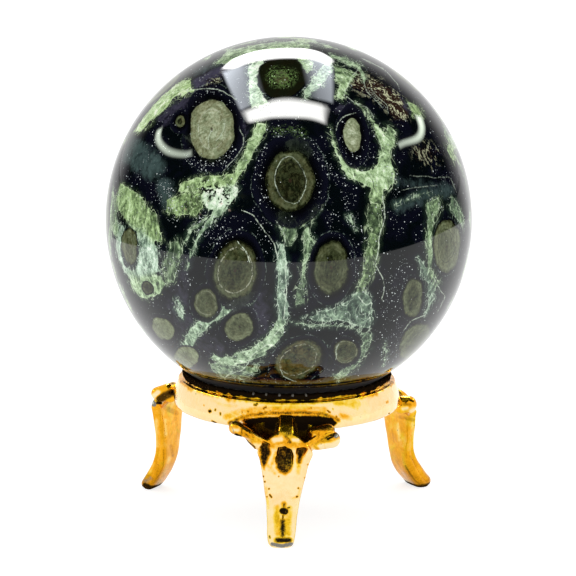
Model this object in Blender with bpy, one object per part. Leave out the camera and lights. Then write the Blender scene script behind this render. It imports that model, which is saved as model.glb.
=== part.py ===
"""Polished jasper sphere resting on a small cast metal ring stand with three cabriole legs.

Metres, +Z up. The origin is on the surface that the stand stands on, below the sphere's centre.
The photographed side faces -Y.
"""

import math

import bmesh
import bpy
from mathutils import Vector

MM = 0.001

# Stone
SPHERE_RADIUS = 25.0 * MM
SPHERE_SEGMENTS = 60
SPHERE_ROWS = 30
REST_GAP = 0.3 * MM

# Ring: a flared band, and on it a narrower collar whose bevelled inner edge carries the sphere
RING_BOTTOM = 14.5 * MM
BAND_TOP = 18.35 * MM
BAND_TOP_RADIUS = 14.8 * MM
BAND_WIDEST_RADIUS = 15.5 * MM
BAND_WIDEST_HEIGHT = 15.9 * MM
BAND_BOTTOM_RADIUS = 15.35 * MM
COLLAR_RADIUS = 14.3 * MM
COLLAR_TOP = 19.15 * MM
SEAT_RADIUS = 13.55 * MM
RING_INNER_RADIUS = 12.5 * MM
EDGE_ROUNDING = 0.3 * MM
RING_SEGMENTS = 64

# Each leg's azimuth, its lean about its own outward axis and its splay, in degrees.
# The legs were fixed by hand, so these aren't even.
LEG_PLACES = {
    "leg_front": (270.0, -2.0, 0.0),
    "leg_left": (152.5, 0.0, -1.0),
    "leg_right": (33.5, 4.5, 7.0),
}
# A leg's origin is on the ring's axis. It is at this height on a leg with no splay.
LEG_ORIGIN_HEIGHT = 15.0 * MM
TOE_RADIUS = 21.4 * MM
SOLDER_GAP = 0.3 * MM

# Sections of a leg from the ring over the knee to the toe, in millimetres from the axis and the floor:
# front (radius, height), back (radius, height), half width
LEG_SECTIONS_MM = (
    ((14.60, 16.90), (14.40, 15.10), 1.40),
    ((16.30, 16.60), (15.10, 15.00), 1.40),
    ((17.70, 15.90), (16.10, 14.50), 1.40),
    ((18.80, 14.85), (17.00, 13.80), 1.75),
    ((19.40, 13.60), (17.45, 12.90), 3.20),
    ((19.55, 12.60), (17.70, 12.20), 3.75),
    ((19.55, 11.50), (17.80, 11.30), 3.45),
    ((19.50, 9.90), (17.75, 9.75), 3.08),
    ((19.45, 7.90), (17.75, 7.70), 2.68),
    ((19.60, 6.10), (17.90, 5.65), 2.34),
    ((20.00, 4.50), (18.35, 3.80), 2.10),
    ((20.70, 3.05), (19.15, 2.10), 1.98),
    ((21.50, 1.80), (20.05, 0.75), 1.88),
    ((22.10, 0.95), (20.80, 0.00), 1.62),
    ((22.35, 0.35), (21.60, -0.25), 0.90),
)
LEG_SECTION_POINTS = 16
FRONT_ROUNDNESS = 3.8
BACK_ROUNDNESS = 5.0

# Wings: one bow across the knee, as (across, radius, height, half height, half depth) on its right half
WING_SECTIONS_MM = (
    (0.0, 18.30, 12.90, 1.20, 0.80),
    (1.9, 18.15, 13.05, 1.20, 0.85),
    (3.6, 17.70, 13.55, 1.15, 0.85),
    (5.0, 17.05, 14.20, 1.05, 0.85),
    (6.1, 16.45, 14.70, 0.95, 0.80),
)
WING_SECTION_POINTS = 12
SCROLL_CENTRE_MM = (6.00, 16.45, 14.65)
SCROLL_HALF_SIZE_MM = (1.50, 1.50, 1.40)
SCROLL_SEGMENTS = 12
SCROLL_ROWS = 8

# Shelf that closes the pockets between wings, rib and band, as (radius, low, high, half width)
SHELF_SECTIONS_MM = (
    (14.60, 14.75, 15.75, 5.5),
    (15.60, 14.40, 15.40, 5.6),
    (17.10, 13.30, 14.20, 4.4),
    (18.20, 12.30, 13.10, 2.6),
)

# Colours and finishes of the stone and of the gilding on each metal piece
STONE_LOOK = {"base": (0.035, 0.055, 0.040), "roughness": 0.06, "metallic": 0.0}
BAND_LOOK = {"base": (0.93, 0.66, 0.27), "roughness": 0.16, "metallic": 1.0}
LEG_LOOK = {"base": (0.90, 0.58, 0.16), "roughness": 0.18, "metallic": 1.0}


def clear_scene():
    for obj in list(bpy.data.objects):
        bpy.data.objects.remove(obj)


def make_material(name, look):
    material = bpy.data.materials.new(name)
    material.use_nodes = True
    shader = material.node_tree.nodes["Principled BSDF"]
    shader.inputs["Base Color"].default_value = (*look["base"], 1.0)
    shader.inputs["Roughness"].default_value = look["roughness"]
    shader.inputs["Metallic"].default_value = look["metallic"]
    material.diffuse_color = (*look["base"], 1.0)
    return material


def new_object(name, fill):
    """A linked object whose mesh the given function fills in, with its faces turned outwards."""
    mesh = bpy.data.meshes.new(name)
    shape = bmesh.new()
    fill(shape)
    bmesh.ops.recalc_face_normals(shape, faces=shape.faces)
    shape.to_mesh(mesh)
    shape.free()
    obj = bpy.data.objects.new(name, mesh)
    bpy.context.scene.collection.objects.link(obj)
    return obj


def skin_loops(shape, loops, closed_path=False):
    """Faces between loops of points, capped at both ends unless the path closes."""
    rings = [[shape.verts.new(point) for point in loop] for loop in loops]
    pairs = list(zip(rings, rings[1:]))
    if closed_path:
        pairs.append((rings[-1], rings[0]))
    for first, second in pairs:
        for k in range(len(first)):
            after = (k + 1) % len(first)
            shape.faces.new((first[k], first[after], second[after], second[k]))
    if not closed_path:
        shape.faces.new(rings[0])
        shape.faces.new(list(reversed(rings[-1])))


def shade(obj, sharp_degrees):
    obj.data.shade_smooth()
    obj.data.set_sharp_from_angle(angle=math.radians(sharp_degrees))


def arc(centre, radius, start, end, steps):
    """Points (radius, height) on an arc, with angles in degrees."""
    angles = [math.radians(start + (end - start) * k / steps) for k in range(steps + 1)]
    return [(centre[0] + radius * math.cos(a), centre[1] + radius * math.sin(a)) for a in angles]


def sphere_centre_height():
    """The sphere clears the collar's rounded seat edge by the rest gap."""
    edge_radius = SEAT_RADIUS + EDGE_ROUNDING
    edge_height = COLLAR_TOP - EDGE_ROUNDING
    reach = SPHERE_RADIUS + EDGE_ROUNDING + REST_GAP
    return edge_height + math.sqrt(reach**2 - edge_radius**2)


def band_face(steps=5):
    """The flared outer face of the band, on a parabola through its top, widest and bottom points."""
    known = (
        (BAND_TOP, BAND_TOP_RADIUS),
        (BAND_WIDEST_HEIGHT, BAND_WIDEST_RADIUS),
        (RING_BOTTOM, BAND_BOTTOM_RADIUS),
    )
    points = []
    for k in range(1, steps):
        height = BAND_TOP + (RING_BOTTOM - BAND_TOP) * k / steps
        radius = 0.0
        for i, (own_height, own_radius) in enumerate(known):
            share = own_radius
            for j, (other_height, _) in enumerate(known):
                if i != j:
                    share *= (height - other_height) / (own_height - other_height)
            radius += share
        points.append((radius, height))
    return points


def ring_profile():
    """The closed section of the ring, as (radius, height), from the seat outwards and down."""
    edge = EDGE_ROUNDING
    profile = [(RING_INNER_RADIUS, COLLAR_TOP - 3 * edge)]
    profile += arc((SEAT_RADIUS + edge, COLLAR_TOP - edge), edge, 130, 90, 2)
    profile += [(COLLAR_RADIUS - edge / 2, COLLAR_TOP), (COLLAR_RADIUS, COLLAR_TOP - edge / 2)]
    profile += [(COLLAR_RADIUS, BAND_TOP)]
    profile += [(BAND_TOP_RADIUS - edge / 2, BAND_TOP), (BAND_TOP_RADIUS, BAND_TOP - edge / 2)]
    profile += band_face()
    profile += arc((BAND_BOTTOM_RADIUS - edge, RING_BOTTOM + edge), edge, 0, -90, 2)
    profile += [(RING_INNER_RADIUS + edge, RING_BOTTOM), (RING_INNER_RADIUS, RING_BOTTOM + edge)]
    return profile


def lathe(shape, profile):
    loops = []
    for k in range(RING_SEGMENTS):
        turn = 2 * math.pi * k / RING_SEGMENTS
        loops.append([(radius * math.cos(turn), radius * math.sin(turn), height) for radius, height in profile])
    skin_loops(shape, loops, closed_path=True)


def make_ring():
    ring = new_object("stand_ring", lambda shape: lathe(shape, ring_profile()))
    ring.data.materials.append(make_material("gilt_band", BAND_LOOK))
    shade(ring, 35)
    return ring


def make_ring_clearance():
    """A cutter a little larger than the band, which shapes the leg's saddle."""
    gap = SOLDER_GAP
    inner = RING_INNER_RADIUS - gap
    face = [(BAND_TOP_RADIUS, BAND_TOP)] + band_face() + [(BAND_BOTTOM_RADIUS, RING_BOTTOM)]
    profile = [(inner, BAND_TOP + gap)] + [(radius + gap, height) for radius, height in face]
    profile += [(BAND_BOTTOM_RADIUS, RING_BOTTOM - gap), (inner, RING_BOTTOM - gap)]
    return new_object("ring_clearance", lambda shape: lathe(shape, profile))


def make_floor_cutter():
    """Levels the toes, which leaves a small worn flat under each."""
    size = 4 * BAND_WIDEST_RADIUS

    def fill(shape):
        bmesh.ops.create_cube(shape, size=size)
        bmesh.ops.translate(shape, vec=(0, 0, -size / 2), verts=shape.verts)

    return new_object("floor_cutter", fill)


def leg_point(across, radius, height):
    """A point of a leg in its own axes, from millimetres."""
    return Vector((across * MM, radius * MM, height * MM - LEG_ORIGIN_HEIGHT))


def bent(value, roundness):
    """A sine or cosine bent towards a superellipse."""
    return math.copysign(abs(value) ** (2 / roundness), value)


def leg_section(front, back, half_width):
    """A closed section, crowned in front and flatter behind."""
    points = []
    for k in range(LEG_SECTION_POINTS):
        angle = 2 * math.pi * (k + 0.5) / LEG_SECTION_POINTS
        roundness = FRONT_ROUNDNESS if math.sin(angle) > 0 else BACK_ROUNDNESS
        across = half_width * bent(math.cos(angle), roundness)
        depth = (1 + bent(math.sin(angle), roundness)) / 2
        radius = back[0] + (front[0] - back[0]) * depth
        height = back[1] + (front[1] - back[1]) * depth
        points.append(leg_point(across, radius, height))
    return points


def wing_section(across, radius, height, half_height, half_depth):
    """An upright ellipse across the bow."""
    points = []
    for k in range(WING_SECTION_POINTS):
        angle = 2 * math.pi * k / WING_SECTION_POINTS
        out = radius + half_depth * math.cos(angle)
        points.append(leg_point(across, out, height + half_height * math.sin(angle)))
    return points


def fill_shaft(shape):
    skin_loops(shape, [leg_section(*section) for section in LEG_SECTIONS_MM])


def fill_wings(shape):
    left = [(-section[0], *section[1:]) for section in reversed(WING_SECTIONS_MM) if section[0] > 0]
    skin_loops(shape, [wing_section(*section) for section in left + list(WING_SECTIONS_MM)])


def fill_shelf(shape):
    loops = []
    for radius, low, high, half_width in SHELF_SECTIONS_MM:
        corners = ((-half_width, low), (half_width, low), (half_width, high), (-half_width, high))
        loops.append([leg_point(across, radius, height) for across, height in corners])
    skin_loops(shape, loops)


def fill_scroll(side):
    def fill(shape):
        bmesh.ops.create_uvsphere(shape, u_segments=SCROLL_SEGMENTS, v_segments=SCROLL_ROWS, radius=MM)
        bmesh.ops.scale(shape, vec=SCROLL_HALF_SIZE_MM, verts=shape.verts)
        across, radius, height = SCROLL_CENTRE_MM
        bmesh.ops.translate(shape, vec=leg_point(side * across, radius, height), verts=shape.verts)

    return fill


def add_boolean(target, other, operation):
    modifier = target.modifiers.new(other.name, "BOOLEAN")
    modifier.operation = operation
    modifier.solver = "EXACT"
    modifier.object = other
    other.hide_render = True
    other.display_type = "WIRE"


def leg_casting():
    """The mesh of one leg: shaft, wings, shelf and scrolls joined, before it is fitted to the ring."""
    shaft = new_object("leg_casting", fill_shaft)
    others = [
        new_object("wings", fill_wings),
        new_object("shelf", fill_shelf),
        new_object("scroll_right", fill_scroll(1)),
        new_object("scroll_left", fill_scroll(-1)),
    ]
    for other in others:
        add_boolean(shaft, other, "UNION")
    bpy.context.view_layer.update()
    graph = bpy.context.evaluated_depsgraph_get()
    casting = bpy.data.meshes.new_from_object(shaft.evaluated_get(graph))
    for helper in [shaft, *others]:
        bpy.data.objects.remove(helper)
    return casting


def splayed_origin_height(splay):
    """A splayed leg's toe swings up, so its origin sinks until the toe is back on the floor."""
    return LEG_ORIGIN_HEIGHT * math.cos(splay) - TOE_RADIUS * math.sin(splay)


def make_legs():
    casting = leg_casting()
    clearance = make_ring_clearance()
    floor = make_floor_cutter()
    for name, (azimuth, lean, splay) in LEG_PLACES.items():
        leg = bpy.data.objects.new(name, casting.copy())
        bpy.context.scene.collection.objects.link(leg)
        leg.location = (0, 0, splayed_origin_height(math.radians(splay)))
        leg.rotation_euler = (math.radians(splay), math.radians(lean), math.radians(azimuth - 90))
        add_boolean(leg, clearance, "DIFFERENCE")
        add_boolean(leg, floor, "DIFFERENCE")
        leg.data.materials.clear()
        leg.data.materials.append(make_material("gilt_" + name, LEG_LOOK))
        shade(leg, 40)


def make_sphere():
    def fill(shape):
        bmesh.ops.create_uvsphere(
            shape, u_segments=SPHERE_SEGMENTS, v_segments=SPHERE_ROWS, radius=SPHERE_RADIUS
        )

    sphere = new_object("jasper_sphere", fill)
    sphere.location = (0, 0, sphere_centre_height())
    sphere.data.materials.append(make_material("jasper", STONE_LOOK))
    sphere.data.shade_smooth()


def main():
    clear_scene()
    make_sphere()
    make_ring()
    make_legs()


main()
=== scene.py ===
"""Looks of the polished jasper sphere on its gilt ring stand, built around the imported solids.

Metres and +Z up, in the solids' own axes. A name ending in _MM holds millimetres. A name ending in _PX
holds pixels of the photograph, 576 wide and high, counted from its top left corner.
"""

import math

import bmesh
import bpy
import numpy as np
from mathutils import Matrix, Vector, noise


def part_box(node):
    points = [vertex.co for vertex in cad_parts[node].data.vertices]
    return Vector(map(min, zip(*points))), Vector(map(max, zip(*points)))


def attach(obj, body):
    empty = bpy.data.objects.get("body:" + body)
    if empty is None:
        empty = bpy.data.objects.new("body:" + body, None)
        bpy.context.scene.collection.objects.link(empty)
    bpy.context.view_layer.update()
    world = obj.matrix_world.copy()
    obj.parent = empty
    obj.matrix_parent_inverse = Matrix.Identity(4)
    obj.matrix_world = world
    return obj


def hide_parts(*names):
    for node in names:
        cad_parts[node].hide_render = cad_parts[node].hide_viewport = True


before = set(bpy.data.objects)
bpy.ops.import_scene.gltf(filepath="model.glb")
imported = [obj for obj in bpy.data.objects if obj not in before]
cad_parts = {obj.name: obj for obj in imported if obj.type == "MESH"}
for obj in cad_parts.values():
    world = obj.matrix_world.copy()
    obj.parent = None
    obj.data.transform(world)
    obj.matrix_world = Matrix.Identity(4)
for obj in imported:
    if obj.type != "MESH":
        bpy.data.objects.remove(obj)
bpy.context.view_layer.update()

MM = 0.001
NOISE_SEED = 3
# Without this the wandering outlines differ from run to run
noise.seed_set(NOISE_SEED)

# Camera, fitted to the stone's outline, the ring's ellipse and the toes
IMAGE_PX = 576
SENSOR_MM = 36.0
FOCAL_PX = 5869.0
CAMERA_DISTANCE = 0.8
CAMERA_ELEVATION = math.radians(12.0)
CAMERA_ROLL = math.radians(-0.75)
STONE_CENTRE_PX = (288.8, 219.7)
STONE_RADIUS_PX = 183.4

stone_low, stone_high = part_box("jasper_sphere")
STONE_CENTRE = np.array((stone_low + stone_high) / 2)
STONE_RADIUS = (stone_high.z - stone_low.z) / 2


def camera_frame():
    """The camera's place and its right, up and backward axes."""
    forward = np.array([0, math.cos(CAMERA_ELEVATION), -math.sin(CAMERA_ELEVATION)])
    level = np.array([1.0, 0, 0])
    rise = np.cross(level, forward)
    right = level * math.cos(CAMERA_ROLL) - rise * math.sin(CAMERA_ROLL)
    up = level * math.sin(CAMERA_ROLL) + rise * math.cos(CAMERA_ROLL)
    middle = IMAGE_PX / 2
    aim = forward + right * (middle - STONE_CENTRE_PX[0]) / FOCAL_PX
    aim = aim - up * (middle - STONE_CENTRE_PX[1]) / FOCAL_PX
    back = -aim / np.linalg.norm(aim)
    right = right - back * (right @ back)
    right = right / np.linalg.norm(right)
    return STONE_CENTRE - forward * CAMERA_DISTANCE, right, np.cross(back, right), back


CAMERA_PLACE, CAMERA_RIGHT, CAMERA_UP, CAMERA_BACK = camera_frame()
TO_CAMERA = (CAMERA_PLACE - STONE_CENTRE) / CAMERA_DISTANCE


def to_pixels(points):
    """Where points in space fall in the photograph."""
    offset = points - CAMERA_PLACE
    scale = FOCAL_PX / -(offset @ CAMERA_BACK)
    x = IMAGE_PX / 2 + offset @ CAMERA_RIGHT * scale
    y = IMAGE_PX / 2 - offset @ CAMERA_UP * scale
    return x, y


def sight_line(x, y):
    """The direction in which the camera sees a pixel."""
    across = (x - IMAGE_PX / 2) / FOCAL_PX
    down = (y - IMAGE_PX / 2) / FOCAL_PX
    line = CAMERA_RIGHT * across - CAMERA_UP * down - CAMERA_BACK
    return line / np.linalg.norm(line)


def mirror(x, y):
    """The place of the polished stone that a pixel shows, and the direction that it mirrors there."""
    line = sight_line(x, y)
    offset = CAMERA_PLACE - STONE_CENTRE
    along = offset @ line
    depth = along**2 - offset @ offset + STONE_RADIUS**2
    touch = CAMERA_PLACE + line * (-along - math.sqrt(max(depth, 0.0)))
    normal = (touch - STONE_CENTRE) / np.linalg.norm(touch - STONE_CENTRE)
    return touch, line - 2 * (line @ normal) * normal


def make_camera():
    data = bpy.data.cameras.new("camera")
    data.sensor_width = SENSOR_MM
    data.lens = FOCAL_PX / IMAGE_PX * SENSOR_MM
    data.clip_end = 20.0
    camera = bpy.data.objects.new("camera", data)
    bpy.context.scene.collection.objects.link(camera)
    turn = Matrix((CAMERA_RIGHT, CAMERA_UP, CAMERA_BACK)).transposed()
    camera.matrix_world = Matrix.Translation(CAMERA_PLACE) @ turn.to_4x4()
    bpy.context.scene.camera = camera


# Meshes and the numbers stored on them


def mesh_object(name, points, faces):
    mesh = bpy.data.meshes.new(name)
    mesh.from_pydata(points, [], faces)
    mesh.update()
    obj = bpy.data.objects.new(name, mesh)
    bpy.context.scene.collection.objects.link(obj)
    return obj


def store(obj, name, values):
    """Keeps one number or three on each vertex, for the material."""
    values = np.asarray(values, np.float32)
    kind, field = ("FLOAT", "value") if values.ndim == 1 else ("FLOAT_VECTOR", "vector")
    attribute = obj.data.attributes.new(name, kind, "POINT")
    attribute.data.foreach_set(field, values.ravel())


def fade(value, low, high):
    """0 up to low, 1 from high on, smooth between."""
    share = np.clip((value - low) / (high - low), 0, 1)
    return share * share * (3 - 2 * share)


def wander(points, size, seed):
    """Smooth noise vectors, about -1 to 1, that change over the given length."""
    shift = Vector((seed * 7.3, seed * 3.1, seed * 5.7))
    return np.array([noise.noise_vector(Vector(p) / size + shift) for p in points])


def along_edge(x, y, ax, ay, bx, by):
    """How far along the edge from a to b the nearest point is, and how far off the edge places lie."""
    dx, dy = bx - ax, by - ay
    share = np.clip(((x - ax) * dx + (y - ay) * dy) / (dx * dx + dy * dy), 0, 1)
    return share, np.hypot(x - ax - share * dx, y - ay - share * dy)


def stroke_gap(x, y, points, start_width, end_width):
    """How far places lie outside a stroke of changing half width; negative inside it."""
    points = np.array(points, float)
    if len(points) == 1:
        return np.hypot(x - points[0, 0], y - points[0, 1]) - start_width
    steps = np.linalg.norm(np.diff(points, axis=0), axis=1)
    done = np.concatenate([[0], np.cumsum(steps)]) / steps.sum()
    gap = np.full(len(x), np.inf)
    for a, b, before, after in zip(points, points[1:], done, done[1:]):
        share, off = along_edge(x, y, *a, *b)
        width = start_width + (end_width - start_width) * (before + (after - before) * share)
        gap = np.minimum(gap, off - width)
    return gap


def line_offset(x, y, points):
    """How far places lie from a line: positive on one side of it and negative on the other."""
    offset = np.full(len(x), np.inf)
    for (ax, ay), (bx, by) in zip(points, points[1:]):
        off = along_edge(x, y, ax, ay, bx, by)[1]
        side = np.where((bx - ax) * (y - ay) - (by - ay) * (x - ax) < 0, -1.0, 1.0)
        offset = np.where(off < np.abs(offset), off * side, offset)
    return offset


def smooth_rows(rows, substeps):
    """Rows of numbers with smooth rows put between them."""
    rows = np.array(rows, float)
    padded = np.vstack([2 * rows[0] - rows[1], rows, 2 * rows[-1] - rows[-2]])
    made = []
    for k in range(len(rows) - 1):
        p0, p1, p2, p3 = padded[k:k + 4]
        for t in np.arange(substeps) / substeps:
            made.append(
                0.5 * (2 * p1 + (p2 - p0) * t + (2 * p0 - 5 * p1 + 4 * p2 - p3) * t**2
                       + (3 * p1 - p0 - 3 * p2 + p3) * t**3)
            )
    made.append(rows[-1])
    return np.array(made)


def polygon_gap(x, y, corners):
    """How far places lie outside a polygon; negative inside it."""
    corners = np.array(corners, float)
    gap = np.full(len(x), np.inf)
    inside = np.zeros(len(x), bool)
    for a, b in zip(corners, np.roll(corners, -1, axis=0)):
        gap = np.minimum(gap, along_edge(x, y, *a, *b)[1])
        rise = b[1] - a[1]
        crosses = (a[1] > y) != (b[1] > y)
        inside ^= crosses & (x < a[0] + (y - a[1]) * (b[0] - a[0]) / (rise if rise else 1.0))
    return np.where(inside, -gap, gap)


def painted(x, y, strokes, soft=1.0):
    """The strongest of several soft strokes: strength, half width, points."""
    value = np.zeros(len(x))
    for strength, width, points in strokes:
        gap = stroke_gap(x, y, points, width, width)
        value = np.maximum(value, strength * (1 - fade(gap, -soft, soft)))
    return value


# Materials


class Look:
    """A node material, built by calls that return the sockets they make."""

    def __init__(self, name):
        self.material = bpy.data.materials.new(name)
        self.material.use_nodes = True
        self.tree = self.material.node_tree
        self.shader = self.tree.nodes["Principled BSDF"]
        self.place = self.node("ShaderNodeTexCoord").outputs["Object"]

    def node(self, kind, **settings):
        node = self.tree.nodes.new(kind)
        for key, value in settings.items():
            setattr(node, key, value)
        return node

    def put(self, socket, value):
        if isinstance(value, bpy.types.NodeSocket):
            self.tree.links.new(value, socket)
        elif isinstance(value, tuple) and len(value) == 3 and socket.type == "RGBA":
            socket.default_value = (*value, 1.0)
        else:
            socket.default_value = value

    def math(self, operation, *values, clamp=False):
        node = self.node("ShaderNodeMath", operation=operation, use_clamp=clamp)
        for socket, value in zip(node.inputs, values):
            self.put(socket, value)
        return node.outputs[0]

    def add(self, first, *others):
        for other in others:
            first = self.math("ADD", first, other)
        return first

    def times(self, first, *others):
        for other in others:
            first = self.math("MULTIPLY", first, other)
        return first

    def swing(self, value, amount):
        """A noise's departure from its middle, scaled."""
        return self.times(self.math("SUBTRACT", value, 0.5), amount)

    def fade(self, value, low, high, start=0.0, end=1.0):
        node = self.node("ShaderNodeMapRange", interpolation_type="SMOOTHSTEP")
        for socket, setting in zip(node.inputs, (value, low, high, start, end)):
            self.put(socket, setting)
        return node.outputs[0]

    def mix(self, share, first, second):
        node = self.node("ShaderNodeMix", data_type="RGBA")
        self.put(node.inputs[0], share)
        self.put(node.inputs[6], first)
        self.put(node.inputs[7], second)
        return node.outputs[2]

    def ramp(self, value, *stops):
        """A colour that changes with a value: place and colour of each stop, in rising order."""
        node = self.node("ShaderNodeValToRGB")
        points = node.color_ramp.elements
        for place, _ in stops[1:-1]:
            points.new(place)
        for point, (place, colour) in zip(points, stops):
            point.position = place
            point.color = (*colour, 1.0)
        self.put(node.inputs[0], value)
        return node.outputs[0]

    def attribute(self, name):
        return self.node("ShaderNodeAttribute", attribute_name=name)

    def parts(self, name):
        """The three numbers of a stored vector."""
        split = self.node("ShaderNodeSeparateXYZ")
        self.put(split.inputs[0], self.attribute(name).outputs["Vector"])
        return split.outputs[0], split.outputs[1], split.outputs[2]

    def noise(self, per_mm, detail=2.0, roughness=0.5, warp=0.0, stretch=1.0):
        place = self.place
        if stretch != 1.0:
            longer = self.node("ShaderNodeMapping")
            self.put(longer.inputs["Vector"], place)
            self.put(longer.inputs["Scale"], (1.0, 1.0, 1 / stretch))
            place = longer.outputs[0]
        node = self.node("ShaderNodeTexNoise")
        self.put(node.inputs["Vector"], place)
        self.put(node.inputs["Scale"], per_mm / MM)
        self.put(node.inputs["Detail"], detail)
        self.put(node.inputs["Roughness"], roughness)
        self.put(node.inputs["Distortion"], warp)
        return node.outputs["Fac"]

    def threads(self, value, width):
        """Thin lines where a noise crosses its middle."""
        gap = self.math("ABSOLUTE", self.math("SUBTRACT", value, 0.5))
        return self.fade(gap, width * 0.3, width, 1.0, 0.0)

    def spots(self, per_mm, radius_mm, chance):
        """Round spots of uneven size, in the share of cells that the chance gives."""
        cells = self.node("ShaderNodeTexVoronoi")
        self.put(cells.inputs["Vector"], self.place)
        self.put(cells.inputs["Scale"], per_mm / MM)
        split = self.node("ShaderNodeSeparateXYZ")
        self.put(split.inputs[0], cells.outputs["Color"])
        size = self.fade(split.outputs[1], 0.0, 1.0, radius_mm * per_mm * 0.4, radius_mm * per_mm)
        gap = self.math("SUBTRACT", cells.outputs["Distance"], size)
        spot = self.fade(gap, -0.06, 0.02, 1.0, 0.0)
        return self.times(spot, self.math("LESS_THAN", split.outputs[0], chance))

    def finish(self, **settings):
        for key, value in settings.items():
            self.put(self.shader.inputs[key.replace("_", " ")], value)
        return self.material


# Stone: the pattern of the photographed side, placed by pixels

# For each orb: centre, half width, half height, lean to the right in degrees, shade of the core and of the
# edge, where the core ends, the ring's place and strength (negative is dark), reach of the dark halo, warmth.
# Where the core ends, the ring's place and the halo's reach are shares of the orb's size.
ORBS_PX = {
    "upper_left": ((212, 129), 22.5, 31, 0, 0.58, 0.46, 0.62, 0.62, 0.75, 1.42, 0.45),
    "upper_left_eye": ((180.5, 121), 4.5, 6, 20, 0.02, 0.22, 0.5, 0.0, 0.0, 2.2, 0.6),
    "top": ((282, 77.5), 24, 21.5, 0, 0.12, -0.12, 0.32, 0.0, 0.0, 1.05, 0.5),
    "middle": ((290.5, 181), 25, 31.5, 0, 0.045, 0.13, 0.66, 0.58, -0.8, 1.5, 0.35),
    "upper_right": ((352.5, 135.5), 8.7, 17.5, -5, 0.66, 0.52, 0.5, 0.0, 0.0, 1.85, 0.2),
    "left_rim": ((129.5, 246.5), 8.2, 18.5, -6, 0.16, 0.22, 0.5, 0.55, 0.2, 1.02, 0.3),
    "left_small": ((147, 287.8), 5.0, 7.0, -25, 0.03, 0.08, 0.6, 0.0, 0.0, 1.15, 0.2),
    "left_large": ((235.5, 270.5), 23, 31, 8, 0.08, 0.13, 0.66, 0.74, 0.9, 1.30, 0.35),
    "left_low": ((206, 303), 12.4, 15.5, 0, 0.12, 0.18, 0.7, 0.78, 0.4, 1.28, 0.2),
    "low_left": ((239.5, 326.5), 13.5, 16, 35, 0.15, 0.24, 0.6, 0.0, 0.0, 1.38, 0.15),
    "low_far_left": ((162.5, 328.5), 10, 13, -45, 0.28, 0.30, 0.5, 0.0, 0.0, 1.35, 0.1),
    "bottom_left": ((186.5, 357.5), 12.5, 11, -20, 0.26, 0.36, 0.5, 0.0, 0.0, 1.15, 0.1),
    "middle_right": ((331.5, 268), 18, 28, 6, 0.07, 0.12, 0.6, 0.62, -0.4, 1.3, 0.2),
    "bottom": ((298.5, 360.5), 19, 26, 65, 0.09, 0.13, 0.7, 0.74, 0.75, 1.2, 0.8),
    "bottom_right": ((345.5, 351.5), 12.5, 12.5, 0, 0.08, 0.13, 0.7, 0.86, 0.45, 1.25, 0.4),
    "right_rim": ((446.5, 246), 13.5, 27, 2, 0.14, 0.22, 0.55, 0.60, -0.8, 1.06, 0.2),
    "right_low": ((412.5, 298), 10.5, 20, 4, 0.08, 0.18, 0.6, 0.64, -0.5, 1.18, 0.2),
    "right_bottom": ((415, 342), 13, 22, 33, 0.10, 0.17, 0.6, 0.0, 0.0, 1.12, 0.1),
}

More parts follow.
